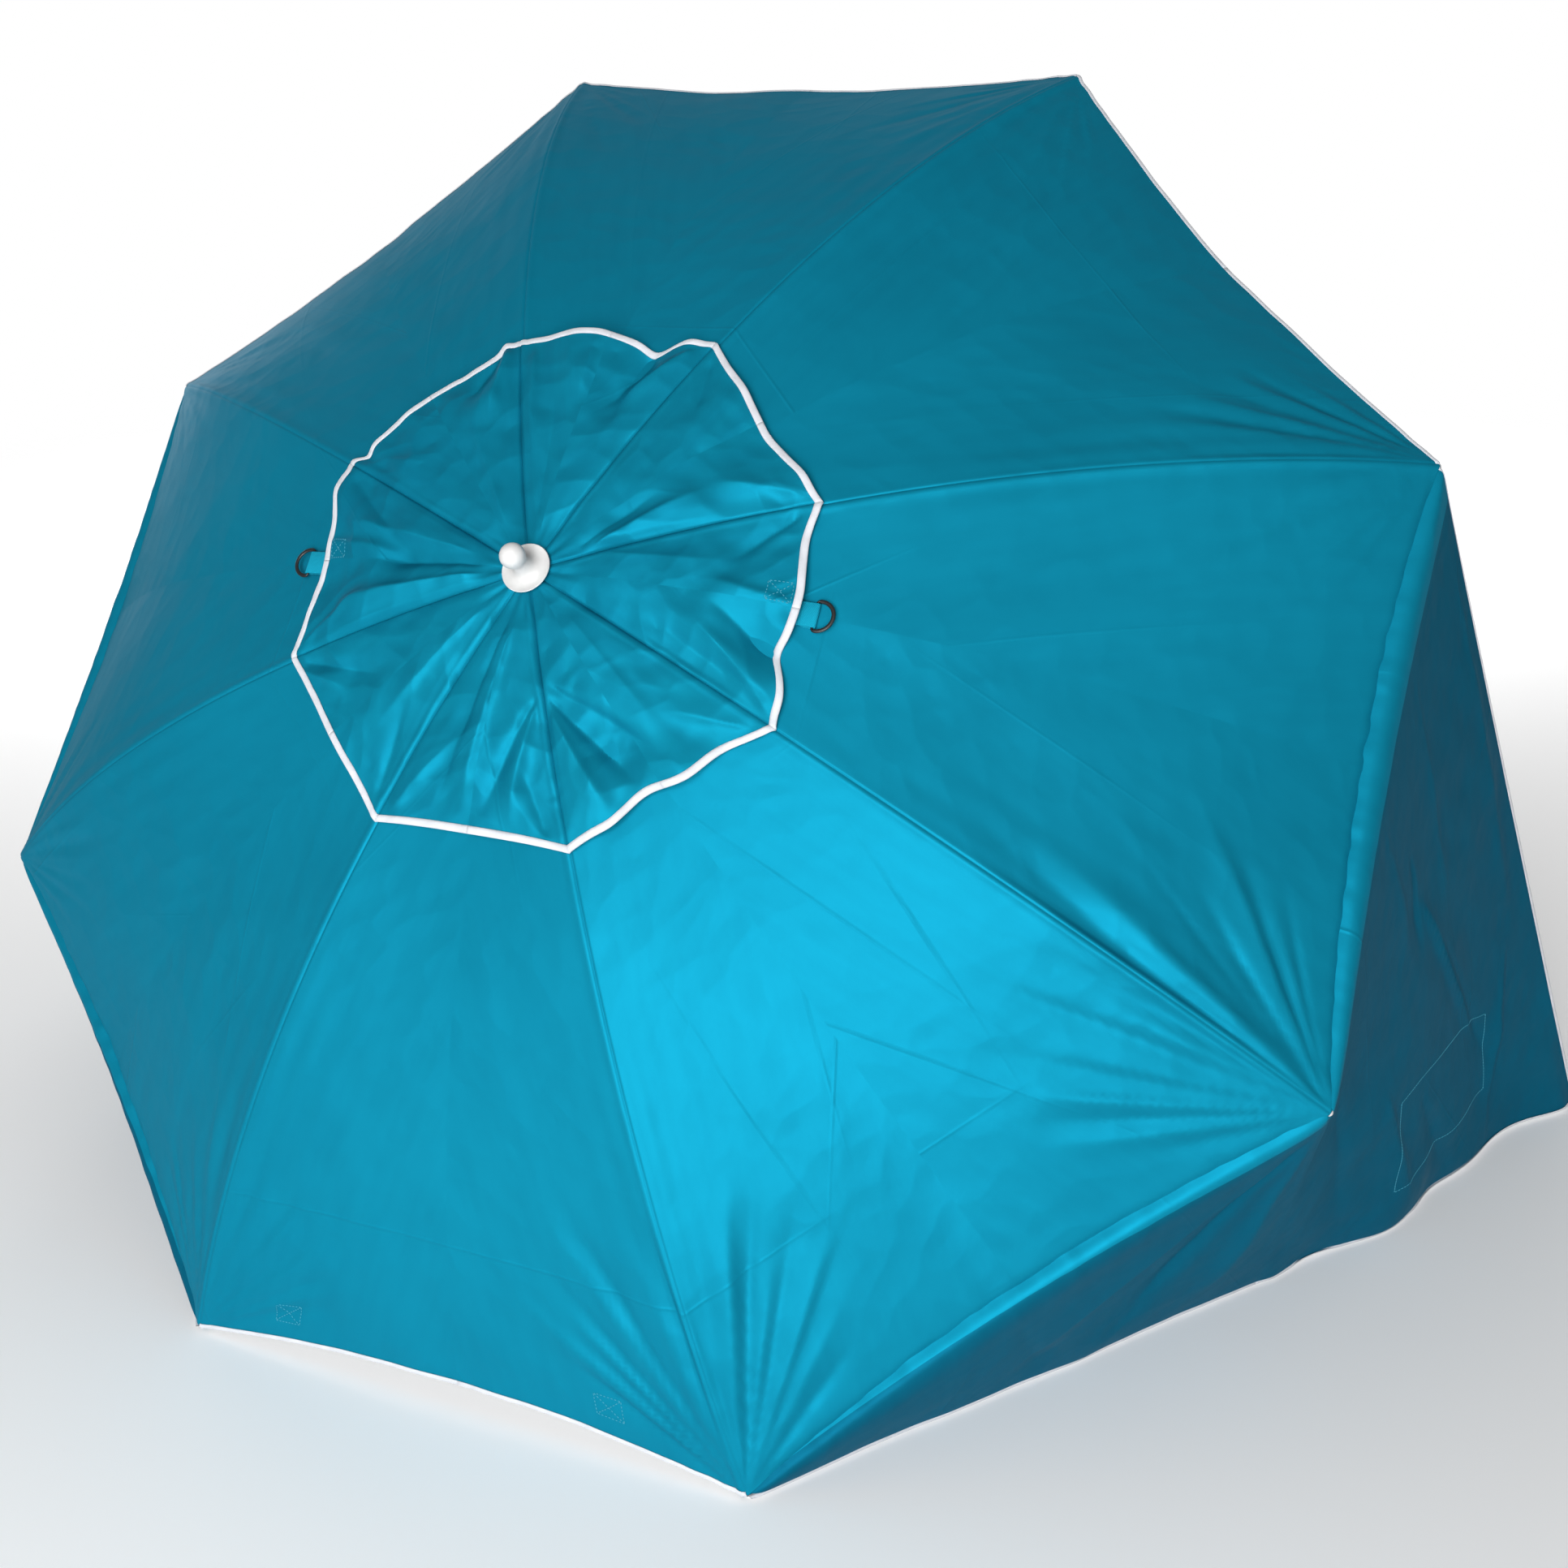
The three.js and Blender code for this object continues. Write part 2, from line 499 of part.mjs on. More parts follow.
// Webbing loop under the vent cap's hem, half way between two ribs, with a flat D-ring through it.
function addRing(side, azimuth) {
  const midGore = canopyPoint(1, 0.5, FABRIC + 1, CANOPY_OPENING, STRAP.radius / Math.cos(HALF_GORE), 0);
  const reach = Math.hypot(midGore[0], midGore[1]);
  const slope = Math.asin(reach / ARC_RADIUS);
  const seat = new THREE.Group();
  seat.rotation.z = azimuth;
  const local = new THREE.Group();
  local.position.set(reach, 0, midGore[2]);
  local.rotation.y = slope;
  seat.add(local);
  tipsGroup.add(seat);

  const half = STRAP.height / 2;
  const loop = new THREE.Shape();
  loop.absarc(STRAP.length / 2 - half, half, half, -Math.PI / 2, Math.PI / 2);
  loop.absarc(-STRAP.length / 2 + half, half, half, Math.PI / 2, 1.5 * Math.PI);
  const inside = half - STRAP.wall;
  const eye = new THREE.Path();
  eye.absarc(STRAP.length / 2 - half, half, inside, -Math.PI / 2, Math.PI / 2);
  eye.absarc(-STRAP.length / 2 + half, half, inside, Math.PI / 2, 1.5 * Math.PI);
  loop.holes.push(eye);
  addPiece(local, `dring_strap_${side}`, plate(loop, STRAP.width), WEBBING);

  const outerHalf = RING.inner + RING.bow;
  const outline = new THREE.Shape();
  outline.moveTo(0, -outerHalf);
  outline.lineTo(RING.straight, -outerHalf);
  outline.absarc(RING.straight, 0, outerHalf, -Math.PI / 2, Math.PI / 2);
  outline.lineTo(0, outerHalf);
  const opening = new THREE.Path();
  opening.moveTo(RING.bar, -RING.inner);
  opening.lineTo(RING.straight, -RING.inner);
  opening.absarc(RING.straight, 0, RING.inner, -Math.PI / 2, Math.PI / 2);
  opening.lineTo(RING.bar, RING.inner);
  outline.holes.push(opening);
  const options = { depth: RING.bar, bevelEnabled: false, curveSegments: 10 };
  const ring = new THREE.ExtrudeGeometry(outline, options);
  ring.translate(STRAP.length / 2 - half - 0.5 - RING.bar / 2, 0, half - RING.bar / 2);
  addPiece(local, `dring_${side}`, ring, BLACK_PLASTIC);
}

addPole();
addCrownAndRunner();
addSpokes();
addWalls();
addRing('right', 0);
addRing('left', Math.PI);

export default group;
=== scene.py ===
"""Looks of the beach umbrella with side walls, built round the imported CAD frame. Metres, +Z up."""
import json
import math

import bmesh
import bpy
import numpy as np
from mathutils import Matrix, Vector

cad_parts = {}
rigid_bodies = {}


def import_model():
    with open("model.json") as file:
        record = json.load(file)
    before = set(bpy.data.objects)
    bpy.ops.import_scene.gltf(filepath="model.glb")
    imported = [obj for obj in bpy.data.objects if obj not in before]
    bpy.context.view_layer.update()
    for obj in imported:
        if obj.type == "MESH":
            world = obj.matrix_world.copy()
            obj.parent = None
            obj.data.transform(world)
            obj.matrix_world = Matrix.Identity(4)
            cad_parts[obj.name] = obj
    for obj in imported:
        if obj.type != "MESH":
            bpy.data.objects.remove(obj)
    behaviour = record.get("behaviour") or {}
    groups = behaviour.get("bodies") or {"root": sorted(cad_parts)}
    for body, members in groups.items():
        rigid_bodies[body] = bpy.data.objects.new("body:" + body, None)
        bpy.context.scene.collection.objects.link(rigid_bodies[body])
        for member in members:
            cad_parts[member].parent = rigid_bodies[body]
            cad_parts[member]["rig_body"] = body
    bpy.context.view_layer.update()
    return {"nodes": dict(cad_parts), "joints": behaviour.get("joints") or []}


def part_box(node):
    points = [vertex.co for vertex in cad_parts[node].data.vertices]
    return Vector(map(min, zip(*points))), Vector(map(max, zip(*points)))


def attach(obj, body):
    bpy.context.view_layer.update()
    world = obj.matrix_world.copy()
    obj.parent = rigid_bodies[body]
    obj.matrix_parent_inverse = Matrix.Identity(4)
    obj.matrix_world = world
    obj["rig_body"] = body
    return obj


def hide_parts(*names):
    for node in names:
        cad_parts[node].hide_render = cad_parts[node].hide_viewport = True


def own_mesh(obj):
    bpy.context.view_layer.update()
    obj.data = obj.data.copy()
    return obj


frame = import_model()

# ------------------------------------------------------------------ driving dimensions, as in the CAD

RIBS = 8
TIP_RADIUS = 1.0
CANOPY_RISE = 0.345
LEAN = math.radians(53.56)
HEM_SCOOP = 0.025
GORE_SAG = 0.014
RIB_DROP = 0.007
TIP_CAP_RADIUS = 0.0048
HINGE_RADIUS = 0.026
CANOPY_OPENING = 0.17
VENT_LIFT = 0.010
CLOTH_LIFT = 0.0012  # the canopy's outer face above the ribs' arc
FABRIC = 0.0009  # thickness of the visible cloth
WALL_HEM = 0.765
HEM_AZIMUTH = math.radians(58.3)

HALF_GORE = math.pi / RIBS
GORE = 2 * HALF_GORE
ARC_RADIUS = (TIP_RADIUS**2 + CANOPY_RISE**2) / (2 * CANOPY_RISE)
ARC_CENTRE = CANOPY_RISE - ARC_RADIUS
TIP_ANGLE = math.asin(TIP_RADIUS / ARC_RADIUS)
ARC_LENGTH = ARC_RADIUS * TIP_ANGLE


def arc_point(angle, lift):
    """Radius and height above the tips' plane of a rib arc, lifted off it by lift."""
    reach = ARC_RADIUS + lift
    return reach * np.sin(angle), ARC_CENTRE + reach * np.cos(angle)


def chord(radius):
    """A gore's width from rib to rib at a radius from the pole."""
    return 2 * math.sin(HALF_GORE) * radius


CAP_REACH, CAP_HEIGHT = arc_point(TIP_ANGLE, -RIB_DROP)
TIPS_PLANE = (TIP_CAP_RADIUS + CAP_REACH * math.cos(HALF_GORE) * math.sin(LEAN)) / math.cos(LEAN) - CAP_HEIGHT
HINGE_HEIGHT = arc_point(math.asin(HINGE_RADIUS / (ARC_RADIUS - RIB_DROP)), -RIB_DROP)[1]
CROWN = TIPS_PLANE + HINGE_HEIGHT

TO_ROW = np.array([
    [1, 0, 0],
    [0, math.cos(LEAN), -math.sin(LEAN)],
    [0, math.sin(LEAN), math.cos(LEAN)],
])
POLE_WAY = TO_ROW @ np.array([0, 0, 1.0])


def to_row(points):
    """From the pole's own frame, its foot at the origin, to the row frame."""
    return np.asarray(points, float) @ TO_ROW.T


def rib_azimuth(rib):
    return HALF_GORE - (rib - 1) * GORE


def next_rib(rib, step=1):
    return (rib - 1 + step) % RIBS + 1


def unit(vectors):
    vectors = np.asarray(vectors, float)
    return vectors / np.maximum(np.linalg.norm(vectors, axis=-1, keepdims=True), 1e-12)


def smooth(x, low, high):
    t = np.clip((x - low) / (high - low), 0, 1)
    return t * t * (3 - 2 * t)


def waves(points, seed, scale, octaves=3):
    """Smooth seeded noise, about -1 to 1, of points in metres."""
    random = np.random.default_rng(seed)
    total = np.zeros(points.shape[:-1])
    weight = 1.0
    for _ in range(octaves):
        for _ in range(6):
            way = unit(random.normal(size=3))
            phase = random.uniform(0, 2 * math.pi)
            total += weight * np.sin(points @ way * (2 * math.pi / scale) + phase) / 3
        weight *= 0.5
        scale *= 0.47
    return total / 1.6


# ------------------------------------------------------------------ materials


class Nodes:
    """A node tree under construction, with short calls for the nodes that the looks use."""

    def __init__(self, owner, shader):
        self.tree = owner.node_tree
        self.shader = shader

    def add(self, kind, **values):
        node = self.tree.nodes.new(kind)
        for name, value in values.items():
            setattr(node, name, value)
        return node

    def feed(self, target, value):
        """Give an input a plain value or another node's output."""
        if isinstance(value, bpy.types.NodeSocket):
            self.tree.links.new(value, target)
        else:
            target.default_value = value

    def put(self, socket, value):
        """Give one of the shader's inputs a value or another node's output."""
        self.feed(self.shader.inputs[socket], value)

    def place(self):
        return self.add("ShaderNodeTexCoord").outputs["Object"]

    def cloth(self):
        """A sheet's flat coordinates in metres: both together, then across and along it."""
        uv = self.add("ShaderNodeUVMap", uv_map="cloth").outputs[0]
        split = self.add("ShaderNodeSeparateXYZ")
        self.feed(split.inputs[0], uv)
        return uv, split.outputs[0], split.outputs[1]

    def math(self, operation, *values):
        node = self.add("ShaderNodeMath", operation=operation)
        for target, value in zip(node.inputs, values):
            self.feed(target, value)
        return node.outputs[0]

    def ripple(self, value, pitch):
        return self.math("SINE", self.math("MULTIPLY", value, 2 * math.pi / pitch))

    def noise(self, vector, scale, detail=2.0, stretch=None, output="Fac"):
        if stretch:
            mapping = self.add("ShaderNodeMapping")
            self.feed(mapping.inputs["Scale"], stretch)
            self.feed(mapping.inputs["Vector"], vector)
            vector = mapping.outputs[0]
        node = self.add("ShaderNodeTexNoise")
        for socket, value in (("Vector", vector), ("Scale", scale), ("Detail", detail)):
            self.feed(node.inputs[socket], value)
        return node.outputs[output]

    def ramp(self, factor, stops):
        """A blend between two colours, each given as (factor, colour)."""
        node = self.add("ShaderNodeValToRGB")
        for element, (place, colour) in zip(node.color_ramp.elements, stops):
            element.position = place
            element.color = (*colour, 1)
        self.feed(node.inputs["Fac"], factor)
        return node.outputs["Color"]

    def bump(self, height, strength, distance, normal=None):
        node = self.add("ShaderNodeBump")
        for socket, value in (("Strength", strength), ("Distance", distance), ("Height", height)):
            self.feed(node.inputs[socket], value)
        if normal is not None:
            self.feed(node.inputs["Normal"], normal)
        return node.outputs["Normal"]

    def mix(self, factor, first, second):
        node = self.add("ShaderNodeMix", data_type="RGBA")
        shown = [socket for socket in node.inputs if socket.enabled]
        for target, value in zip(shown, (factor, first, second)):
            self.feed(target, value)
        return next(socket for socket in node.outputs if socket.enabled)


def new_material(name, colour, roughness, metallic=0.0):
    """A plain material, and its node tree for more."""
    material = bpy.data.materials.new(name)
    material.use_nodes = True
    n = Nodes(material, material.node_tree.nodes["Principled BSDF"])
    n.put("Base Color", (*colour, 1))
    n.put("Roughness", roughness)
    n.put("Metallic", metallic)
    return material, n


# Creases left by packing: sets of parallel lines, as (slope across, slope along, spacing, shift).
CREASES = (
    (1.0, 0.0, 0.155, 0.052),
    (0.0, 1.0, 0.235, 0.090),
    (0.95, 0.31, 0.290, 0.017),
    (0.93, -0.36, 0.340, 0.131),
)
CREASE_WIDTH = 0.0030
TEAL_SHINE = (0.04, 0.45, 0.62, 1)


def cloth_material(name, colour, dark, roughness, sheen, crumpled=0.25, tint=TEAL_SHINE):
    """Coated satin polyester: soft changes of tone, packing creases, crumpled facets and a fine twill."""
    material, n = new_material(name, colour, roughness)
    uv, across, along = n.cloth()

    broad = n.noise(n.place(), 2.2, 3.0)
    streak = n.noise(uv, 9.0, 3.0, stretch=(6.0, 1.0, 1.0))
    tone = n.math("MULTIPLY_ADD", streak, 0.35, n.math("MULTIPLY", broad, 0.65))
    n.put("Base Color", n.ramp(tone, [(0.32, dark), (0.68, colour)]))
    n.put("Roughness", n.math("MULTIPLY_ADD", broad, 0.16, roughness - 0.08))

    # each crease fades in and out along its length
    creases = None
    for number, (slope_across, slope_along, spacing, shift) in enumerate(CREASES):
        run = n.math("ADD", n.math("MULTIPLY", across, slope_across), n.math("MULTIPLY", along, slope_along))
        fold = n.math("PINGPONG", n.math("ADD", run, shift + 8 * spacing), spacing)
        aside = n.math("SMOOTH_MIN", n.math("MULTIPLY", fold, 1 / CREASE_WIDTH), 1.0, 0.35)
        seen = n.math("MULTIPLY_ADD", n.noise(uv, 1.3 + 0.4 * number, 1.0), 3.4, -1.6)
        shown = n.math("MAXIMUM", n.math("MULTIPLY", n.math("SUBTRACT", 1.0, aside), seen), 0.0)
        creases = shown if creases is None else n.math("ADD", creases, shown)
    normal = n.bump(creases, 0.55, 0.0013)

    wander = n.add("ShaderNodeVectorMath", operation="MULTIPLY_ADD")
    for target, value in zip(wander.inputs, (n.noise(uv, 9.0, output="Color"), (0.05, 0.05, 0.0), uv)):
        n.feed(target, value)
    facets = n.add("ShaderNodeTexVoronoi", feature="SMOOTH_F1")
    for socket, value in (("Vector", wander.outputs[0]), ("Scale", 22.0), ("Smoothness", 0.22)):
        n.feed(facets.inputs[socket], value)
    patchy = n.math("MULTIPLY", facets.outputs["Distance"], n.noise(uv, 5.0))
    normal = n.bump(patchy, 0.8 * crumpled, 0.016, normal)
    normal = n.bump(n.noise(uv, 520.0, 1.0, stretch=(1.0, 0.4, 1.0)), 0.22, 0.00016, normal)

    warp = n.ripple(n.math("ADD", across, along), 0.00085)
    weft = n.ripple(n.math("SUBTRACT", across, along), 0.0013)
    twill = n.math("MULTIPLY_ADD", warp, 0.6, n.math("MULTIPLY", weft, 0.4))
    n.put("Normal", n.bump(twill, 0.16, 0.00012, normal))
    n.put("Sheen Weight", sheen)
    n.put("Sheen Roughness", 0.35)
    n.put("Sheen Tint", tint)
    n.put("Anisotropic", 0.3)
    n.put("Specular IOR Level", 0.03)
    n.put("Specular Tint", tint)
    n.put("Metallic", 0.34)  # a satin weave's lustre takes the cloth's own colour
    return material


def worn(n, wide, colour, share, stops, roughness, change):
    """Colour and roughness that vary with a broad noise."""
    darker = tuple(c * share for c in colour)
    n.put("Base Color", n.ramp(wide, list(zip(stops, (darker, colour)))))
    n.put("Roughness", n.math("MULTIPLY_ADD", wide, change, roughness))


def moulded_material(name, colour, roughness):
    material, n = new_material(name, colour, roughness)
    place = n.place()
    n.put("Normal", n.bump(n.noise(place, 900.0), 0.5, 0.00012))
    worn(n, n.noise(place, 30.0, 3.0), colour, 0.82, (0.3, 0.62), roughness - 0.09, 0.18)
    return material


def metal_material(name, colour, roughness, metallic, streak=(4.0, 4.0, 400.0)):
    material, n = new_material(name, colour, roughness, metallic)
    place = n.place()
    n.put("Normal", n.bump(n.noise(place, 3.0, 3.0, stretch=streak), 0.12, 0.0002))
    worn(n, n.noise(place, 14.0, 4.0), colour, 0.8, (0.35, 0.6), roughness - 0.1, 0.22)
    return material


def webbing_material(name, colour, dark):
    material, n = new_material(name, colour, 0.7)
    _, across, along = n.cloth()
    weave = n.math("MULTIPLY", n.ripple(across, 0.0022), n.ripple(along, 0.0016))
    # the weave's low points are darker, following the bump's height: painted shade in the hollows of the
    # weave
    tone = n.math("MULTIPLY_ADD", weave, 0.25, 0.55)
    n.put("Base Color", n.ramp(tone, [(0.25, dark), (0.75, colour)]))
    n.put("Normal", n.bump(weave, 0.8, 0.0005))
    n.put("Specular IOR Level", 0.1)
    return material


def binding_material(name):
    """White bias tape: fine cross ribs and a line of stitches along its inner edge."""
    material, n = new_material(name, (0.50, 0.51, 0.54), 0.8)
    uv, across, along = n.cloth()
    dash = n.math("GREATER_THAN", n.ripple(along, 0.0042), -0.35)
    line = n.math("LESS_THAN", n.math("ABSOLUTE", n.math("SUBTRACT", across, 0.0021)), 0.0005)
    stitch = n.math("MULTIPLY", dash, line)
    tone = n.ramp(n.noise(uv, 40.0, 3.0), [(0.3, (0.44, 0.46, 0.49)), (0.7, (0.54, 0.55, 0.59))])
    n.put("Base Color", n.mix(n.math("MULTIPLY", stitch, 0.35), tone, (0.52, 0.56, 0.6, 1)))
    height = n.math("SUBTRACT", n.math("MULTIPLY", n.ripple(along, 0.0011), 0.2), stitch)
    n.put("Normal", n.bump(n.noise(uv, 110.0), 0.5, 0.0012, n.bump(height, 0.5, 0.0004)))
    n.put("Sheen Weight", 0.25)
    return material


TEAL = cloth_material("canopy_cloth", (0.0035, 0.185, 0.285), (0.003, 0.160, 0.252), 0.50, 0.01)
VENT_TEAL = cloth_material(
    "vent_cloth", (0.0035, 0.190, 0.285), (0.003, 0.150, 0.240), 0.52, 0.01, crumpled=1.0)
# The walls' cloth is the canopy's teal darkened as painted shade, for panels that face away from the light;
# the pocket bag has it too.
SHADED_WALL_TEAL = cloth_material("wall_cloth_painted_shade", (0.0025, 0.098, 0.165), (0.002, 0.082, 0.140), 0.50, 0.01)
SILVER = cloth_material(
    "silver_coating", (0.62, 0.64, 0.66), (0.54, 0.56, 0.58), 0.38, 0.1, tint=(0.9, 0.9, 0.9, 1))
BINDING = binding_material("white_binding")
STITCH = moulded_material("stitch_thread", (0.035, 0.27, 0.37), 0.7)
WEBBING = webbing_material("turquoise_webbing", (0.004, 0.34, 0.50), (0.003, 0.20, 0.31))
WHITE = moulded_material("white_plastic", (0.56, 0.56, 0.555), 0.34)
BLACK = moulded_material("black_plastic", (0.006, 0.006, 0.007), 0.45)
GREY = moulded_material("grey_plastic", (0.13, 0.135, 0.14), 0.5)
FIBRE = metal_material("glass_fibre", (0.78, 0.78, 0.74), 0.35, 0.0)
ZINC = metal_material("zinc_steel", (0.62, 0.63, 0.64), 0.32, 1.0)
PAINT = metal_material("white_powder_coat", (0.80, 0.81, 0.82), 0.34, 0.0, streak=(60.0, 60.0, 60.0))


# ------------------------------------------------------------------ mesh helpers

def new_piece(name, vertices, faces, materials, face_material=None, uvs=None, normals=None):
    """A smooth-shaded mesh object from arrays. uvs and normals are given per vertex."""
    mesh = bpy.data.meshes.new(name)
    mesh.from_pydata(np.asarray(vertices, float).tolist(), [], [list(face) for face in faces])
    for material in materials:
        mesh.materials.append(material)
    if face_material is not None:
        mesh.polygons.foreach_set("material_index", np.asarray(face_material, np.int32))
    mesh.polygons.foreach_set("use_smooth", np.full(len(mesh.polygons), True))
    if uvs is not None:
        layer = mesh.uv_layers.new(name="cloth")
        corner = np.zeros(len(mesh.loops), np.int32)
        mesh.loops.foreach_get("vertex_index", corner)
        layer.data.foreach_set("uv", np.asarray(uvs, np.float32)[corner].ravel())
    mesh.update()
    if normals is not None:
        mesh.normals_split_custom_set_from_vertices(np.asarray(normals, float).tolist())
    piece = bpy.data.objects.new(name, mesh)
    bpy.context.scene.collection.objects.link(piece)
    return piece


def grid_normals(grid, outward):
    """Unit normals of a grid of points, on the side that the direction outward points to."""
    normals = unit(np.cross(np.gradient(grid, axis=1), np.gradient(grid, axis=0)))
    return -normals if (normals @ outward).mean() < 0 else normals


def cloth_piece(name, outer, normals, uvs, materials=(TEAL, SILVER), thickness=FABRIC):
    """A sheet of real thickness: outer and inner faces and the cut edges between them."""
    rows, columns = outer.shape[:2]
    count = rows * columns
    inner = outer - normals * thickness
    at = np.arange(count).reshape(rows, columns)
    a, b, c, d = at[:-1, :-1], at[:-1, 1:], at[1:, 1:], at[1:, :-1]
    outside = np.stack([a, b, c, d], -1).reshape(-1, 4)
    inside = np.stack([a, d, c, b], -1).reshape(-1, 4) + count
    rims = []
    for line, flip in ((at[0], True), (at[-1], False), (at[:, 0], False), (at[:, -1], True)):
        p, q = line[:-1], line[1:]
        rim = np.stack([p, q, q + count, p + count], -1)
        rims.append(rim[:, ::-1] if flip else rim)
    rims = np.concatenate(rims)
    faces = np.concatenate([outside, inside, rims])
    facing = np.cross(outer[0, 1] - outer[0, 0], outer[1, 1] - outer[0, 1])
    if facing @ normals[0, 0] < 0:
        faces = faces[:, ::-1]
    kinds = np.concatenate([np.zeros(len(outside)), np.ones(len(inside)), np.zeros(len(rims))])
    points = np.concatenate([outer.reshape(-1, 3), inner.reshape(-1, 3)])
    both_sides = np.concatenate([normals.reshape(-1, 3), -normals.reshape(-1, 3)])
    return new_piece(name, points, faces, materials, kinds, np.tile(uvs.reshape(-1, 2), (2, 1)), both_sides)


def tape_section(width):
    """Bias tape folded over an edge: its closed section, as (into the cloth, outwards from it)."""
    return np.array([
        (width, 0.0009), (0.6 * width, 0.0014), (0.0010, 0.0014), (-0.0010, 0.0008), (-0.0015, -0.0005),
        (-0.0010, -0.0017), (0.0010, -0.0024), (0.6 * width, -0.0024), (width, -0.0019),
        (width, -0.0013), (0.0006, -0.0013), (0.0006, 0.0004), (width, 0.0004),
    ])


HEM_TAPE = 0.0055
VENT_TAPE = 0.0076


def tube_faces(steps, sides):
    """The quads between rings of points."""
    at = np.arange(steps * sides).reshape(steps, sides)
    around = np.roll(at, -1, axis=1)
    return np.stack([at[:-1], around[:-1], around[1:], at[1:]], -1).reshape(-1, 4)


def lengths(path):
    """How far along a path each of its points lies."""
    return np.concatenate([[0], np.cumsum(np.linalg.norm(np.diff(path, axis=0), axis=-1))])


def sweep(name, path, side, up, section, material):
    """A closed section carried along a path, with side and up giving the section's own axes at each point."""
    steps, points = len(path), len(section)
    rings = path[:, None] + side[:, None] * section[None, :, :1] + up[:, None] * section[None, :, 1:]
    ends = [list(range(points))[::-1], list(range((steps - 1) * points, steps * points))]
    uvs = np.stack(np.broadcast_arrays(lengths(section)[None, :], lengths(path)[:, None]), -1)
    faces = tube_faces(steps, points).tolist() + ends
    piece = new_piece(name, rings.reshape(-1, 3), faces, [material], None, uvs.reshape(-1, 2))
    turn_outward(piece)
    return piece


def turn_outward(piece):
    """Faces all turned the same way, outwards."""
    mesh = piece.data
    volume = 0.0
    vertices = np.array([v.co for v in mesh.vertices])
    for face in mesh.polygons:
        corners = vertices[list(face.vertices)]
        for k in range(1, len(corners) - 1):
            volume += np.dot(corners[0], np.cross(corners[k], corners[k + 1]))
    if volume < 0:
        mesh.flip_normals()


def smooth_by_angle(piece, degrees=35):
    mesh = piece.data
    mesh.polygons.foreach_set("use_smooth", np.full(len(mesh.polygons), True))
    mesh.set_sharp_from_angle(angle=math.radians(degrees))


def turned(name, profile, material, sides=64, place=None):
    """A turned piece: profile of (radius, height), starting and ending on the axis or closed."""
    profile = np.asarray(profile, float)
    angles = np.linspace(0, 2 * math.pi, sides, endpoint=False)
    rings = np.stack([
        profile[:, None, 0] * np.cos(angles)[None],
        profile[:, None, 0] * np.sin(angles)[None],
        np.broadcast_to(profile[:, 1:], (len(profile), sides)),
    ], -1)
    points = rings.reshape(-1, 3)
    if place is not None:
        points = place(points)
    piece = new_piece(name, to_row(points), tube_faces(len(profile), sides), [material])
    weld(piece)
    turn_outward(piece)
    smooth_by_angle(piece)
    return piece


def weld(piece, distance=1e-6):
    cage = bmesh.new()
    cage.from_mesh(piece.data)
    bmesh.ops.remove_doubles(cage, verts=cage.verts, dist=distance)
    bmesh.ops.dissolve_degenerate(cage, edges=cage.edges, dist=distance)
    cage.to_mesh(piece.data)
    cage.free()


def bake_modifiers(piece):
    bpy.context.view_layer.update()
    made = bpy.data.meshes.new_from_object(piece.evaluated_get(bpy.context.evaluated_depsgraph_get()))
    piece.modifiers.clear()
    piece.data = made


def refined(node, name, material, bevel):
    """A CAD node's shape with its edges rounded, for a moulded or pressed piece."""
    piece = bpy.data.objects.new(name, frame["nodes"][node].data.copy())
    bpy.context.scene.collection.objects.link(piece)
    weld(piece, 1e-5)
    rounding = piece.modifiers.new("rounding", "BEVEL")
    rounding.width = bevel
    rounding.segments = 2
    rounding.limit_method = "ANGLE"
    rounding.angle_limit = math.radians(32)
    rounding.harden_normals = False
    bake_modifiers(piece)
    piece.data.materials.clear()
    piece.data.materials.append(material)
    smooth_by_angle(piece, 40)
    return piece


def settle(piece, body, nodes=()):
    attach(piece, body)
    if nodes:
        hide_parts(*nodes)
    return piece


# ------------------------------------------------------------------ the frame's joints, and a mesh of its own for each cloth piece

joints = {joint["name"]: joint for joint in frame["joints"]}


def rib_joint(rib):
    return joints["canopy_fold" if rib == 1 else f"rib_{rib}_fold"]


def gather_to_rib(piece):
    """Gives the piece a mesh of its own."""
    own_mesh(piece)


# ------------------------------------------------------------------ canopy surface

def gore_point(s, t, first, last, lift, scoop=HEM_SCOOP, sag=GORE_SAG):
    """A gore's point, with its first rib at azimuth 0: s down from the crown, t across to the next rib."""
    curve = 4 * t * (1 - t)
    start = np.arcsin(first / ARC_RADIUS)
    end = np.arcsin(last / ARC_RADIUS) - scoop * curve / ARC_RADIUS
    angle = start + (end - start) * s
    hollow = sag * curve * np.minimum(1, angle / TIP_ANGLE)
    radius, height = arc_point(angle, lift - hollow)
    x = radius * (1 - t + t * math.cos(GORE))
    y = -radius * t * math.sin(GORE)
    return np.stack([x, y, height + TIPS_PLANE], -1), angle


def spin(points, azimuth):
    c, s = math.cos(azimuth), math.sin(azimuth)
    turn = np.array([[c, -s, 0], [s, c, 0], [0, 0, 1]])
    return points @ turn.T


def seam_profile(x):
    """Felled seam over a rib: a stitched groove, with the seam allowance lying under one side."""
    return -0.0016 * np.exp(-(x / 0.0016) ** 2) + 0.0011 * np.exp(-((x - 0.0062) / 0.0036) ** 2)


def fold_line(x, y, start, end, spread, slope, skew=0.0, root=0.0025):
    """A fold of cloth along a line, widening from its root. Its two sides may have different widths."""
    run = math.dist(start, end)
    way_x, way_y = (end[0] - start[0]) / run, (end[1] - start[1]) / run
    along = (x - start[0]) * way_x + (y - start[1]) * way_y
    aside = (x - start[0]) * way_y - (y - start[1]) * way_x
    width = root + spread * np.clip(along, 0, run)
    side = width * np.where(aside > 0, 1 + skew, 1 - skew)
    fade = smooth(along, -0.002, 0.12 * run) * (1 - smooth(along, 0.55 * run, run))
    return slope * width * fade * np.exp(-(np.abs(aside) / side) ** 1.35)


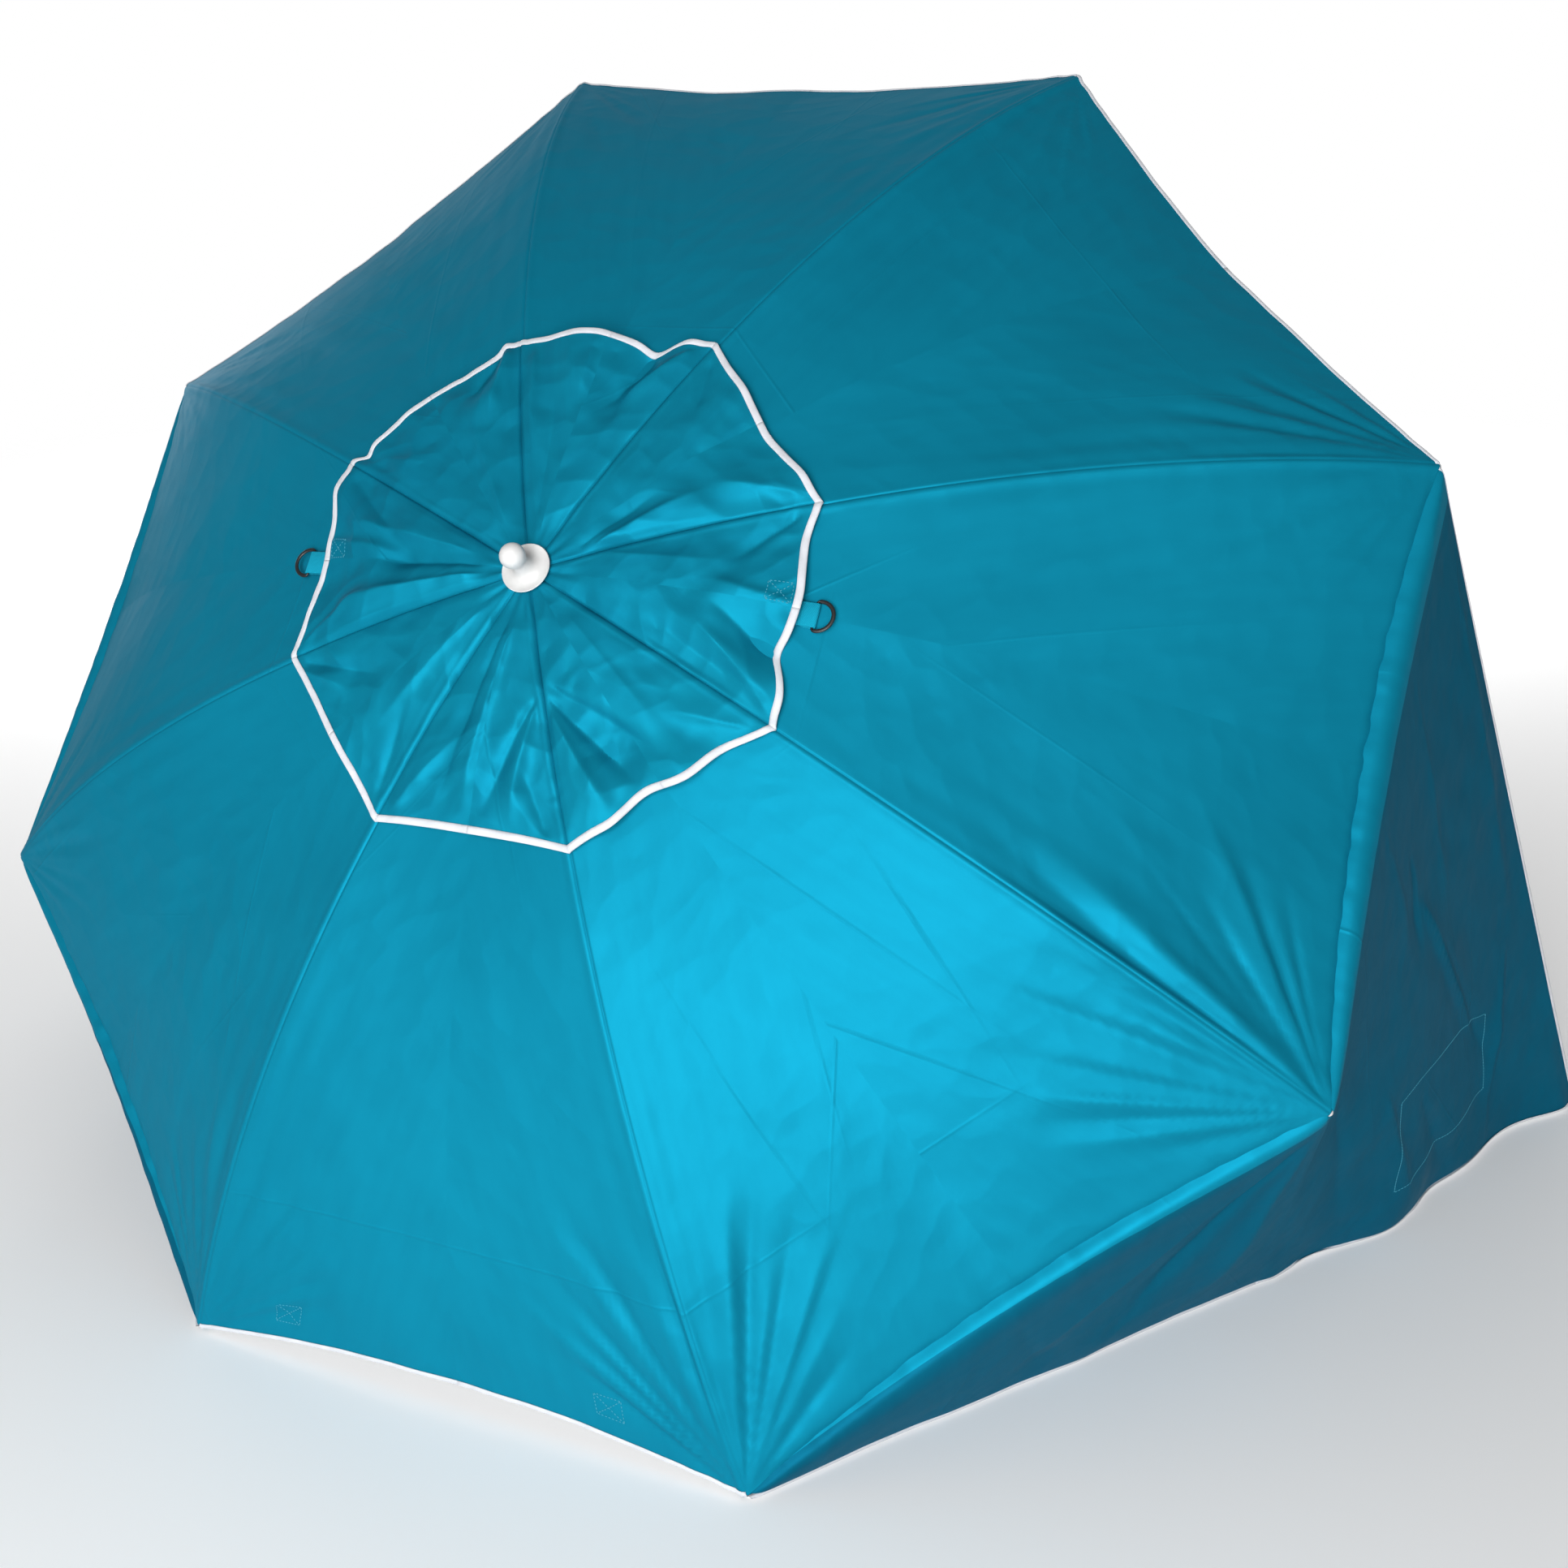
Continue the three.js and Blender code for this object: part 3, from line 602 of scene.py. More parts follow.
# How hard the cloth is pulled at each rib tip: on the side of the next gore, and of the one before.
TIP_PULL = {1: (0.7, 1.0), 2: (1.2, 1.5), 3: (1.5, 1.5), 4: (0.7, 0.9), 5: (0.6, 0.8), 6: (0.5, 0.5),
            7: (0.5, 0.6), 8: (0.6, 0.6)}
TIP_FOLDS = 9
WALLED_GORES = (1, 2, 4, 5)
SEAM_SINK = 0.0032  # depth of the groove where a wall is sewn to the canopy's hem
PATTERN_SHIFT = 0.37  # between one gore's weave and folds and the next one's, so that no two match


def tip_folds(x, up, rib, side):
    """Folds that fan out from a rib tip: x across from the rib, up from the hem along it."""
    random = np.random.default_rng(1000 + 10 * rib + side)
    pull = TIP_PULL[rib][side]
    total = np.zeros_like(x)
    turns = np.linspace(5, 62, TIP_FOLDS) + random.uniform(-3.5, 3.5, TIP_FOLDS)
    for number, turn in enumerate(np.radians(turns)):
        run = random.uniform(0.20, 0.34) * (0.75 + 0.35 * pull) * (1.25 - 0.07 * number)
        slope = random.uniform(0.16, 0.36) * pull * (1 if number % 2 else -1)
        skew = random.uniform(-0.55, 0.55)
        end = (run * math.sin(turn), run * math.cos(turn))
        total += fold_line(x, up, (0.0, 0.0), end, 0.058, slope, skew)
    return total * smooth(x, 0.002, 0.012)


def canopy_relief(gore, s, t, angle, place):
    """How far the stretched canopy stands off its plain surface."""
    width = chord(ARC_RADIUS * np.sin(angle))
    left, right = t * width, (1 - t) * width
    up = ARC_LENGTH - ARC_RADIUS * angle
    inside = np.sin(math.pi * np.clip(t, 0, 1))
    relief = seam_profile(left) + seam_profile(-right)
    relief += 0.0030 * waves(place, 11, 0.42) * inside
    relief += tip_folds(left, up, gore, 0) + tip_folds(right, up, next_rib(gore), 1)
    for near, seed in ((left, gore), (right, gore + 9)):
        beside = np.exp(-near / 0.045) * smooth(near, 0.003, 0.02)
        band = smooth(s, 0.25, 0.6) * (1 + 0.6 * np.sin(5.3 * s + seed))
        relief += 0.0010 * band * beside * np.cos(2 * math.pi * near / 0.040 + 0.9 * seed)
    streaks = waves(np.stack([left * 7, up * 0.8, 0 * up + PATTERN_SHIFT * gore], -1), 23 + gore, 0.9, 2)
    relief += 0.0012 * streaks * inside * smooth(s, 0.1, 0.5)
    if gore in WALLED_GORES:
        hem = up - HEM_SCOOP * 4 * t * (1 - t)
        across = waves(np.stack([left, 0 * up, 0 * up], -1), 40 + gore, 0.034, 2)
        relief += 0.0016 * np.exp(-hem / 0.016) * inside * across
        relief -= SEAM_SINK * np.exp(-(hem / 0.005) ** 2) * smooth(inside, 0.02, 0.2)
    return relief


# Fractions of a gore from a rib to its middle, closely spaced beside the seam.
HALF_COLUMNS = np.array([0, 0.0022, 0.0045, 0.0075, 0.011, 0.0155, 0.022, *np.linspace(0.032, 0.5, 40)])


def sector_grid(rib, s_steps, surface):
    """Positions and normals of the cloth on a rib, from mid-gore to mid-gore, and its flat coordinates."""
    beyond = 1 - HALF_COLUMNS[::-1][1:3]
    side = np.concatenate([HALF_COLUMNS, beyond])
    t = np.concatenate([-side[::-1], side[1:]])
    s = np.linspace(0, 1, s_steps)
    s_grid, t_grid = np.meshgrid(s, t, indexing="ij")
    base = np.zeros((*s_grid.shape, 3))
    relief = np.zeros(s_grid.shape)
    angle = np.zeros(s_grid.shape)
    centre = len(side) - 1
    for gore, part, columns in (
        (next_rib(rib, -1), 1 + t_grid[:, :centre], slice(0, centre)),
        (rib, t_grid[:, centre:], slice(centre, None)),
    ):
        points, turned_by, lift_by = surface(gore, s_grid[:, columns], part)
        base[:, columns] = to_row(spin(points, rib_azimuth(gore)))
        angle[:, columns] = turned_by
        relief[:, columns] = lift_by(base[:, columns])
    grid = base + grid_normals(base, POLE_WAY) * relief[..., None]
    width = chord(ARC_RADIUS * np.sin(angle))
    uvs = np.stack([t_grid * width + PATTERN_SHIFT * rib, ARC_RADIUS * angle], -1)
    keep = slice(2, -2)
    return grid[:, keep], grid_normals(grid, POLE_WAY)[:, keep], uvs[:, keep]


def canopy_surface(gore, s, t):
    points, angle = gore_point(s, t, CANOPY_OPENING, TIP_RADIUS, CLOTH_LIFT)
    return points, angle, lambda place: canopy_relief(gore, s, t, angle, place)


def free_hem(rib, side):
    """Whether the hem on that side of a rib is free, so that it has white binding."""
    gore = rib if side > 0 else next_rib(rib, -1)
    return gore not in WALLED_GORES


def edge_tape(name, path, inward, up, width, body):
    """White bias tape folded over an edge. inward leads from the edge into the cloth, up away from it."""
    inward = unit(inward)
    side = unit(inward - up * np.einsum("ij,ij->i", inward, up)[:, None])
    return settle(sweep(name, path, side, up, tape_section(width), BINDING), body)


def hem_binding(name, grid, normals, columns, rib, width):
    """White bias tape over the outer edge of a rib's cloth."""
    path, inner = grid[-1, columns], grid[-3, columns]
    tape = edge_tape(name, path, inner - path, normals[-1, columns], width, f"rib_{rib}")
    gather_to_rib(tape)
    return tape


def build_tip_pocket(rib):
    """The sewn pocket of cloth that holds the rib's end cap at a corner of the canopy."""
    tangent = to_row(spin(np.array([math.cos(TIP_ANGLE), 0, -math.sin(TIP_ANGLE)]), rib_azimuth(rib)))
    across = unit(rib_joint(rib)["axis"])
    up = unit(np.cross(tangent, across))
    up = up * np.sign(up @ POLE_WAY)
    centre = np.mean(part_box(f"rib_tip_{rib}"), axis=0) + tangent * 0.004
    steps, sides = 12, 24
    part = np.linspace(0, 1, steps)[:, None]
    a = 2 * math.pi * np.arange(sides)[None] / sides
    belly = np.sin(math.pi * part)
    radius = (0.0058 + 0.0010 * belly) * (1 + 0.09 * np.sin(5 * a + rib) * belly)
    sideways = radius * np.cos(a) * (1.5 - 0.5 * part)
    rise = radius * 0.86 * np.sin(a) * np.where(np.sin(a) < 0, 1.25, 1.0)
    along = np.broadcast_to(-0.016 + 0.023 * part, radius.shape)
    points = centre + along[..., None] * tangent + sideways[..., None] * across + rise[..., None] * up
    uvs = np.stack(np.meshgrid(np.arange(steps) * 0.003, np.arange(sides) * 0.002, indexing="ij"), -1)
    shell = tube_faces(steps, sides)
    piece = new_piece(f"tip_pocket_{rib}", points.reshape(-1, 3), shell, [TEAL], None, uvs.reshape(-1, 2))
    thick = piece.modifiers.new("thick", "SOLIDIFY")
    thick.thickness = 0.0007
    thick.offset = -1
    bake_modifiers(piece)
    settle(piece, f"rib_{rib}")


# Where a box of stitches stands on the hem of a rib's cloth: across it, with 1 at the rib.
HEM_BOXES = {3: 1.48, 4: 0.60}


def build_canopy():
    for rib in range(1, RIBS + 1):
        grid, normals, uvs = sector_grid(rib, 160, canopy_surface)
        piece = cloth_piece(f"canopy_{rib}", grid, normals, uvs)
        settle(piece, f"rib_{rib}", [f"canopy_sector_{rib}"])
        gather_to_rib(piece)
        middle = grid.shape[1] // 2
        for side, word, columns in ((-1, "left", slice(0, middle + 1)), (1, "right", slice(middle, None))):
            if free_hem(rib, side):
                hem_binding(f"hem_binding_{rib}_{word}", grid, normals, columns, rib, HEM_TAPE)
        build_tip_pocket(rib)
        if rib in HEM_BOXES:
            across = middle * HEM_BOXES[rib]
            box_stitch(f"hem_box_stitch_{rib}", rib, grid, normals, grid.shape[0] - 9, across, 5, 4)


# ------------------------------------------------------------------ vent cap

# The vent's hem at each rib, and its waves in each gore: where (0 at its first rib), how wide, how far out.
VENT_HEM = {1: 0.340, 2: 0.352, 3: 0.330, 4: 0.331, 5: 0.334, 6: 0.343, 7: 0.334, 8: 0.346}
VENT_WAVES = {
    1: ((0.16, 0.09, -0.003), (0.45, 0.14, 0.007), (0.70, 0.07, -0.009), (0.87, 0.07, 0.004)),
    2: ((0.20, 0.10, -0.005), (0.40, 0.08, 0.004), (0.58, 0.09, -0.006), (0.78, 0.08, 0.004)),
    3: ((0.50, 0.30, 0.002),),
    4: ((0.50, 0.30, 0.003),),
    5: ((0.40, 0.20, -0.004), (0.84, 0.10, 0.006)),
    6: ((0.08, 0.04, -0.005), (0.45, 0.26, 0.007), (0.93, 0.05, 0.005)),
    7: ((0.38, 0.22, 0.013), (0.74, 0.08, -0.010), (0.88, 0.06, 0.003)),
    8: ((0.30, 0.10, 0.003), (0.58, 0.10, -0.003), (0.84, 0.08, 0.003)),
}
VENT_CENTRE = 0.013
VENT_EDGE = 0.34  # the vent's mean hem, for laying its folds out flat
VENT_PUFF = 0.0095
VENT_VALLEY = 0.0035

# Folds in the vent's gores, each from and to (t across the gore, s down it), then spread, slope and skew.
VENT_FOLDS = {
    1: ((0.97, 0.98, 0.60, 0.62, 0.12, 0.40, 0.5), (0.92, 0.97, 0.78, 0.45, 0.10, -0.35, -0.4),
        (0.72, 1.00, 0.52, 0.66, 0.16, -0.45, 0.5), (0.48, 0.98, 0.40, 0.60, 0.14, 0.35, -0.5),
        (0.05, 0.95, 0.34, 0.70, 0.14, -0.40, 0.5), (0.10, 0.25, 0.30, 0.80, 0.05, 0.25, 0.3)),
    2: ((0.97, 0.45, 0.58, 0.97, 0.14, -0.55, -0.6), (0.96, 0.50, 0.74, 1.00, 0.12, 0.50, 0.5),
        (0.95, 0.40, 0.40, 0.93, 0.10, -0.45, 0.6), (0.30, 0.22, 0.34, 0.80, 0.04, 0.22, 0.4),
        (0.06, 0.96, 0.32, 0.72, 0.13, 0.35, 0.4)),
    3: ((0.06, 0.46, 0.30, 0.99, 0.13, 0.50, 0.5), (0.05, 0.44, 0.46, 0.97, 0.12, -0.45, -0.5),
        (0.42, 0.18, 0.56, 0.98, 0.07, 0.36, 0.6), (0.60, 0.15, 0.70, 0.95, 0.06, -0.34, 0.5),
        (0.94, 0.96, 0.66, 0.60, 0.12, 0.32, -0.4), (0.10, 0.97, 0.24, 0.70, 0.10, -0.38, 0.2)),
    4: ((0.96, 0.97, 0.55, 0.66, 0.18, -0.50, 0.5), (0.90, 0.98, 0.66, 0.84, 0.20, 0.42, -0.5),
        (0.38, 0.16, 0.32, 0.86, 0.05, 0.28, 0.5), (0.06, 0.96, 0.30, 0.62, 0.12, -0.34, 0.4)),
    5: ((0.30, 0.14, 0.22, 0.92, 0.09, 0.50, -0.5), (0.52, 0.14, 0.50, 0.80, 0.10, -0.55, 0.5),
        (0.74, 0.20, 0.72, 0.98, 0.09, 0.48, 0.5), (0.95, 0.96, 0.62, 0.55, 0.12, -0.46, -0.3),
        (0.60, 1.00, 0.56, 0.52, 0.12, 0.36, 0.4), (0.05, 0.97, 0.30, 0.66, 0.12, 0.34, 0.4)),
    6: ((0.96, 0.98, 0.74, 0.66, 0.18, 0.50, 0.5), (0.93, 1.00, 0.60, 0.84, 0.16, -0.40, -0.4),
        (0.62, 0.18, 0.66, 0.84, 0.06, 0.26, 0.5), (0.06, 0.95, 0.34, 0.62, 0.14, 0.32, 0.4)),
    7: ((0.74, 1.00, 0.58, 0.60, 0.24, -0.50, 0.5), (0.10, 0.96, 0.16, 0.40, 0.12, 0.38, 0.4),
        (0.94, 0.96, 0.70, 0.70, 0.16, 0.42, -0.4), (0.36, 0.16, 0.30, 0.72, 0.06, -0.28, 0.5),
        (0.45, 0.98, 0.44, 0.66, 0.12, 0.26, 0.3)),
    8: ((0.92, 0.20, 0.74, 0.72, 0.10, 0.42, 0.5), (0.80, 0.16, 0.60, 0.56, 0.09, -0.36, -0.4),
        (0.95, 0.96, 0.70, 0.70, 0.14, 0.36, 0.4), (0.06, 0.95, 0.30, 0.74, 0.10, -0.26, 0.3)),
}


def vent_surface(gore, s, t):
    """One gore of the vent cap, drawn in round the finial and slack between its ribs."""
    middle = np.sin(math.pi * np.clip(t, 0, 1))
    hem = VENT_HEM[gore] * (1 - t) + VENT_HEM[next_rib(gore)] * t
    wave = sum(out * np.exp(-((t - at) / wide) ** 2) for at, wide, out in VENT_WAVES[gore])
    wave = wave * smooth(middle, 0.0, 0.25)
    points, angle = gore_point(s, t, VENT_CENTRE, hem + wave, VENT_LIFT, scoop=0.006, sag=0.0)

    def plan(across, down):
        """Where a point of the gore lies on its flat pattern."""
        reach = VENT_CENTRE + (VENT_EDGE - VENT_CENTRE) * down
        return (across - 0.5) * chord(reach), reach

    def relief(place):
        width = chord(ARC_RADIUS * np.sin(angle))
        total = seam_profile(t * width) + seam_profile((t - 1) * width)
        puffed = np.clip(middle, 0, 1) ** 0.55 * smooth(s, 0.02, 0.3) * (1 - 0.55 * smooth(s, 0.7, 1.0))
        total += VENT_PUFF * puffed - VENT_VALLEY * smooth(s, 0.0, 0.2)
        total += 0.9 * wave * smooth(s, 0.55, 1.0)
        x, y = plan(t, s)
        edge = smooth(np.minimum(t, 1 - t) * width, 0.001, 0.010)
        for from_t, from_s, to_t, to_s, spread, slope, skew in VENT_FOLDS[gore]:
            start, end = plan(from_t, from_s), plan(to_t, to_s)
            total += edge * fold_line(x, y, start, end, spread, 1.25 * slope, skew, root=0.006)
        total += 0.0020 * waves(place, 71, 0.11, 3) * smooth(s, 0.05, 0.35) * smooth(middle, 0.0, 0.5)
        gathers = np.cos(2 * math.pi * (2.5 * t + 0.3 * gore)) * np.exp(-((s - 0.12) / 0.07) ** 2)
        return total + 0.0007 * gathers * middle

    return points, angle, relief


def build_vent():
    for rib in range(1, RIBS + 1):
        grid, normals, uvs = sector_grid(rib, 90, vent_surface)
        piece = cloth_piece(f"vent_{rib}", grid, normals, uvs, [VENT_TEAL, SILVER])
        settle(piece, f"rib_{rib}", ["vent_cap"])
        gather_to_rib(piece)
        tape = hem_binding(f"vent_binding_{rib}", grid, normals, slice(None), rib, VENT_TAPE)
        rows, columns = grid.shape[:2]
        if rib == 1:
            box_stitch("strap_box_stitch_right", rib, grid, normals, rows - 8, columns - 6, 8, 8)
        if rib == 6:
            box_stitch("strap_box_stitch_left", rib, grid, normals, rows - 8, 5, 8, 8)


# ------------------------------------------------------------------ side walls

def tip_place(rib):
    azimuth = rib_azimuth(rib)
    return to_row([TIP_RADIUS * math.cos(azimuth), TIP_RADIUS * math.sin(azimuth), TIPS_PLANE])


HEM_WAY = np.array([math.cos(HEM_AZIMUTH), math.sin(HEM_AZIMUTH), 0])
GROUND_START = tip_place(3) * [1, 1, 0]
SEAM_FOOT = GROUND_START + HEM_WAY * WALL_HEM
WALL_CORNER = GROUND_START + HEM_WAY * 2 * WALL_HEM
ROLL_OUT = 0.028  # how far the wall's sewn top rolls out beyond the hem
ROLL_PUFF = 0.007
LIT_TOP_STRIP_ROWS = 12  # rows of the wall's grid at its rolled top, given the canopy's brighter teal as a painted lit strip against the walls' painted shade
WALL_CLEAR = 0.004  # cloth hem above the ground
CORNER_DROP, SEAM_DROP = 1.21, 0.57  # from hem to ground: at the free edge, and where the panels meet
POCKET_FLAT = (0.34, 0.24)
HEM_SIDEWAYS = np.array([math.sin(HEM_AZIMUTH), -math.cos(HEM_AZIMUTH), 0])
HEM_BULGE = 0.044  # how far the wall's foot stands out where its two panels meet


def hem_line(gore, u):
    """The canopy's hem along a walled gore, and the way that the canopy slopes there."""
    one = np.ones_like(u)
    points, _ = gore_point(one, u, CANOPY_OPENING, TIP_RADIUS, CLOTH_LIFT)
    above, _ = gore_point(0.99 * one, u, CANOPY_OPENING, TIP_RADIUS, CLOTH_LIFT)
    azimuth = rib_azimuth(gore)
    line, back = to_row(spin(points, azimuth)), to_row(spin(above, azimuth))
    slope = unit(line - back)
    out = unit(np.cross(np.gradient(line, axis=0), slope))
    return line, slope, out * np.sign(out @ POLE_WAY)[:, None]


def wall_rows(rows):
    return np.concatenate([np.linspace(0, 0.07, 24)[:-1], np.linspace(0.07, 1, rows - 23)])


def front_bulge(u):
    return HEM_BULGE * (smooth(u, 0.26, 0.60) + 0.10 * np.sin(math.pi * u)) - 0.006 * np.sin(2 * math.pi * u)


def rear_bulge(u):
    return HEM_BULGE * (1 - u)


def wall_grid(gore, low_a, low_b, rows, columns, bulge, folds):
    """A right wall panel, from a gore's hem to the ground. bulge moves its foot, folds gives its relief."""
    u = np.linspace(0, 1, columns)
    v = wall_rows(rows)
    top, slope, out = hem_line(gore, u)
    low = low_a + (low_b - low_a) * u[:, None] + HEM_SIDEWAYS * bulge(u)[:, None]
    u_grid, v_grid = np.meshgrid(u, v)
    drop = np.linalg.norm(low - top, axis=-1)
    down = v_grid * drop
    ends = np.clip(np.sin(math.pi * u), 0, 1) ** 0.5
    curl = ROLL_OUT * ends + 1e-6
    turn = np.tanh(down / curl)
    fall = (down - 0.8 * curl * turn) / (drop - 0.8 * curl)
    roll = 1.1 * curl * turn * np.exp(-down / 0.45) * (1 - v_grid)
    sink = (SEAM_SINK + 0.0014) * np.exp(-(down / 0.0055) ** 1.5)
    puff = ROLL_PUFF * ends * (down / 0.014) * np.exp(1 - down / 0.014)
    tuck = 0.004 * np.exp(-down / 0.004)
    base = top + (low - top) * fall[..., None] + slope * (roll - tuck)[..., None]
    base = base + out * (puff - sink)[..., None]
    outward = np.array([1.0, 0, 0])
    relief = folds(u_grid, v_grid, down, base)
    grid = base + grid_normals(base, outward) * relief[..., None]
    grid[..., 2] = np.maximum(grid[..., 2], WALL_CLEAR)
    width = np.linalg.norm(low_b - low_a) * v_grid + WALL_HEM * (1 - v_grid)
    uvs = np.stack([(u_grid - 0.5) * width + gore, down], -1)
    return grid, grid_normals(grid, outward), uvs


# Folds in the wall, each from and to (u along the hem from its first rib, v down), then spread, slope, skew.
FRONT_FOLDS = (
    (0.47, 0.20, 0.48, 0.42, 0.060, -0.45, 0.5),
    (0.46, 0.30, 0.27, 0.78, 0.050, 0.60, -0.6),
    (0.40, 0.42, 0.20, 0.90, 0.050, -0.40, 0.4),
    (0.56, 0.04, 0.53, 0.40, 0.045, 0.25, 0.3),
    (0.30, 0.04, 0.34, 0.50, 0.040, 0.20, 0.3),
    (0.70, 0.50, 0.60, 0.99, 0.100, 0.40, 0.5),
    (0.56, 0.66, 0.44, 1.00, 0.110, -0.45, 0.4),
    (0.12, 0.62, 0.32, 1.00, 0.060, 0.40, 0.5),
    (0.86, 0.25, 0.80, 0.96, 0.070, -0.30, 0.4),
    (0.04, 0.10, 0.10, 0.70, 0.030, 0.25, 0.3),
)
REAR_FOLDS = (
    (0.02, 0.06, 0.34, 0.92, 0.120, -0.40, 0.5),
    (0.01, 0.04, 0.16, 0.98, 0.120, 0.40, -0.4),
    (0.03, 0.10, 0.58, 0.86, 0.090, 0.22, 0.5),
    (0.52, 0.16, 0.46, 0.98, 0.080, -0.18, 0.3),
)


def front_drop(u):
    return CORNER_DROP + (SEAM_DROP - CORNER_DROP) * u


def rear_drop(u):
    return SEAM_DROP * (1.01 - u)


def panel_folds(u, v, drop, folds):
    """The sum of a panel's folds, with u and v laid out flat in metres."""
    x, y = WALL_HEM * u, v * drop(u)
    total = 0
    for from_u, from_v, to_u, to_v, spread, slope, skew in folds:
        start = (WALL_HEM * from_u, from_v * drop(from_u))
        end = (WALL_HEM * to_u, to_v * drop(to_u))
        total = total + fold_line(x, y, start, end, spread, slope, skew, root=0.005)
    return total


def seam_puckers(u, v, down, seed):
    pucker = waves(np.stack([u, 0 * u, 0 * u], -1), seed, 0.05, 2)
    return 0.0016 * pucker * np.exp(-down / 0.02) * np.sin(math.pi * u)


def front_folds(u, v, down, place):
    edge = smooth(np.minimum(u, 1 - u), 0, 0.05)
    total = 0.026 * np.sin(math.pi * u) * np.clip(np.sin(math.pi * np.clip(v, 0, 1)), 0, 1) ** 0.8
    total = total + panel_folds(u, v, front_drop, FRONT_FOLDS) * edge
    total = total + 0.0045 * waves(place, 91, 0.30) * smooth(v, 0.05, 0.25) * edge
    foot = np.sin(2 * math.pi * 3.1 * u + 0.9) * smooth(v, 0.82, 1.0)
    return total + 0.006 * foot * edge + seam_puckers(u, v, down, 57)


def rear_folds(u, v, down, place):
    edge = smooth(np.minimum(u, 1 - u), 0, 0.05)
    total = 0.008 * np.sin(math.pi * u) * np.sin(math.pi * np.clip(v, 0, 1))
    total = total + panel_folds(u, v, rear_drop, REAR_FOLDS) * edge
    total = total + 0.003 * waves(place, 93, 0.3) * smooth(v, 0.05, 0.25) * edge
    return total + seam_puckers(u, v, down, 59)


def mirrored(grid):
    return grid * [-1, 1, 1]


def build_walls():
    grids = {
        "front": wall_grid(1, WALL_CORNER, SEAM_FOOT, 170, 130, front_bulge, front_folds),
        "rear": wall_grid(2, SEAM_FOOT, GROUND_START, 120, 130, rear_bulge, rear_folds),
    }
    for side, flip in (("right", lambda points: points), ("left", mirrored)):
        for word, (grid, normals, uvs) in grids.items():
            body = f"wall_{word}_{side}"
            # the walls in their painted shade, with the canopy's brighter teal as a painted lit strip along
            # their rolled top
            cloths = [SHADED_WALL_TEAL, SILVER, TEAL]
            piece = cloth_piece(f"{word}_wall_{side}", flip(grid), flip(normals), uvs, cloths)
            for face in piece.data.polygons[:LIT_TOP_STRIP_ROWS * (grid.shape[1] - 1)]:
                face.material_index = 2
            settle(piece, body, [body])
            edges = [(f"{word}_wall_hem_{side}", grid[-1], grid[-4], normals[-1])]
            if word == "front":
                edges.append((f"front_wall_edge_{side}", grid[:, 0], grid[:, 2], normals[:, 0]))
            tapes = [edge_tape(name, flip(line), flip(inner - line), flip(up), HEM_TAPE, body)
                     for name, line, inner, up in edges]
            squash_wall(piece, tapes, word, side)
        build_pocket(side, flip, *grids["front"][:2])


def squash_wall(piece, tapes, word, side):
    near, far = {"front": (2, 1), "rear": (2, 3)}[word]
    chord = unit(tip_place(far) - tip_place(near))
    if side == "left":
        chord = mirrored(chord)
    for each in (piece, *tapes):
        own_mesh(each)


# The pocket's corners on the front panel, as (u, v), round from the one nearest the middle rib.
POCKET_CORNERS = ((0.64, 0.61), (0.24, 0.71), (0.28, 0.86), (0.67, 0.86))


def on_grid(grid, row, column):
    """A grid's value between its points."""
    r0, c0 = np.floor(row).astype(int), np.floor(column).astype(int)
    r0, c0 = np.clip(r0, 0, grid.shape[0] - 2), np.clip(c0, 0, grid.shape[1] - 2)
    fr, fc = (row - r0)[..., None], (column - c0)[..., None]
    near = grid[r0, c0] * (1 - fc) + grid[r0, c0 + 1] * fc
    far = grid[r0 + 1, c0] * (1 - fc) + grid[r0 + 1, c0 + 1] * fc
    return near * (1 - fr) + far * fr


def outline(grid):
    """A grid's four edges, one after another."""
    return grid[0], grid[:, -1], grid[-1, ::-1], grid[::-1, 0]


def build_pocket(side, flip, grid, normals):
    """The pocket bag on the wall's inner face, and its stitching, which shows on the outer face."""
    rows, columns = grid.shape[:2]
    v_of_rows = wall_rows(rows)
    a, b, c, d = (np.array(corner) for corner in POCKET_CORNERS)
    i, j = np.meshgrid(np.linspace(0, 1, 40), np.linspace(0, 1, 56), indexing="ij")
    i, j = i[..., None], j[..., None]
    uv = a * (1 - i) * (1 - j) + b * (1 - i) * j + c * i * j + d * i * (1 - j)
    row = np.interp(uv[..., 1], v_of_rows, np.arange(rows))
    column = uv[..., 0] * (columns - 1)
    patch = on_grid(grid, row, column)
    facing = unit(on_grid(normals, row, column))
    bag_rise = np.sin(math.pi * j) ** 0.6 * smooth(1 - i, 0.0, 0.2)
    inner = patch - facing * (0.0016 + 0.009 * bag_rise)
    uvs = np.concatenate([j * POCKET_FLAT[0], i * 0.2], -1)
    # the pocket bag's outer face has the walls' painted shade
    bag = cloth_piece(f"pocket_{side}", flip(inner), flip(facing), uvs, [SHADED_WALL_TEAL, SILVER], 0.0007)
    settle(bag, f"wall_front_{side}", [f"wall_pocket_{side}"])
    thread = stitches(f"pocket_stitches_{side}", outline(flip(patch)), outline(flip(facing)))
    settle(thread, f"wall_front_{side}")
    squash_wall(bag, (thread,), "front", side)


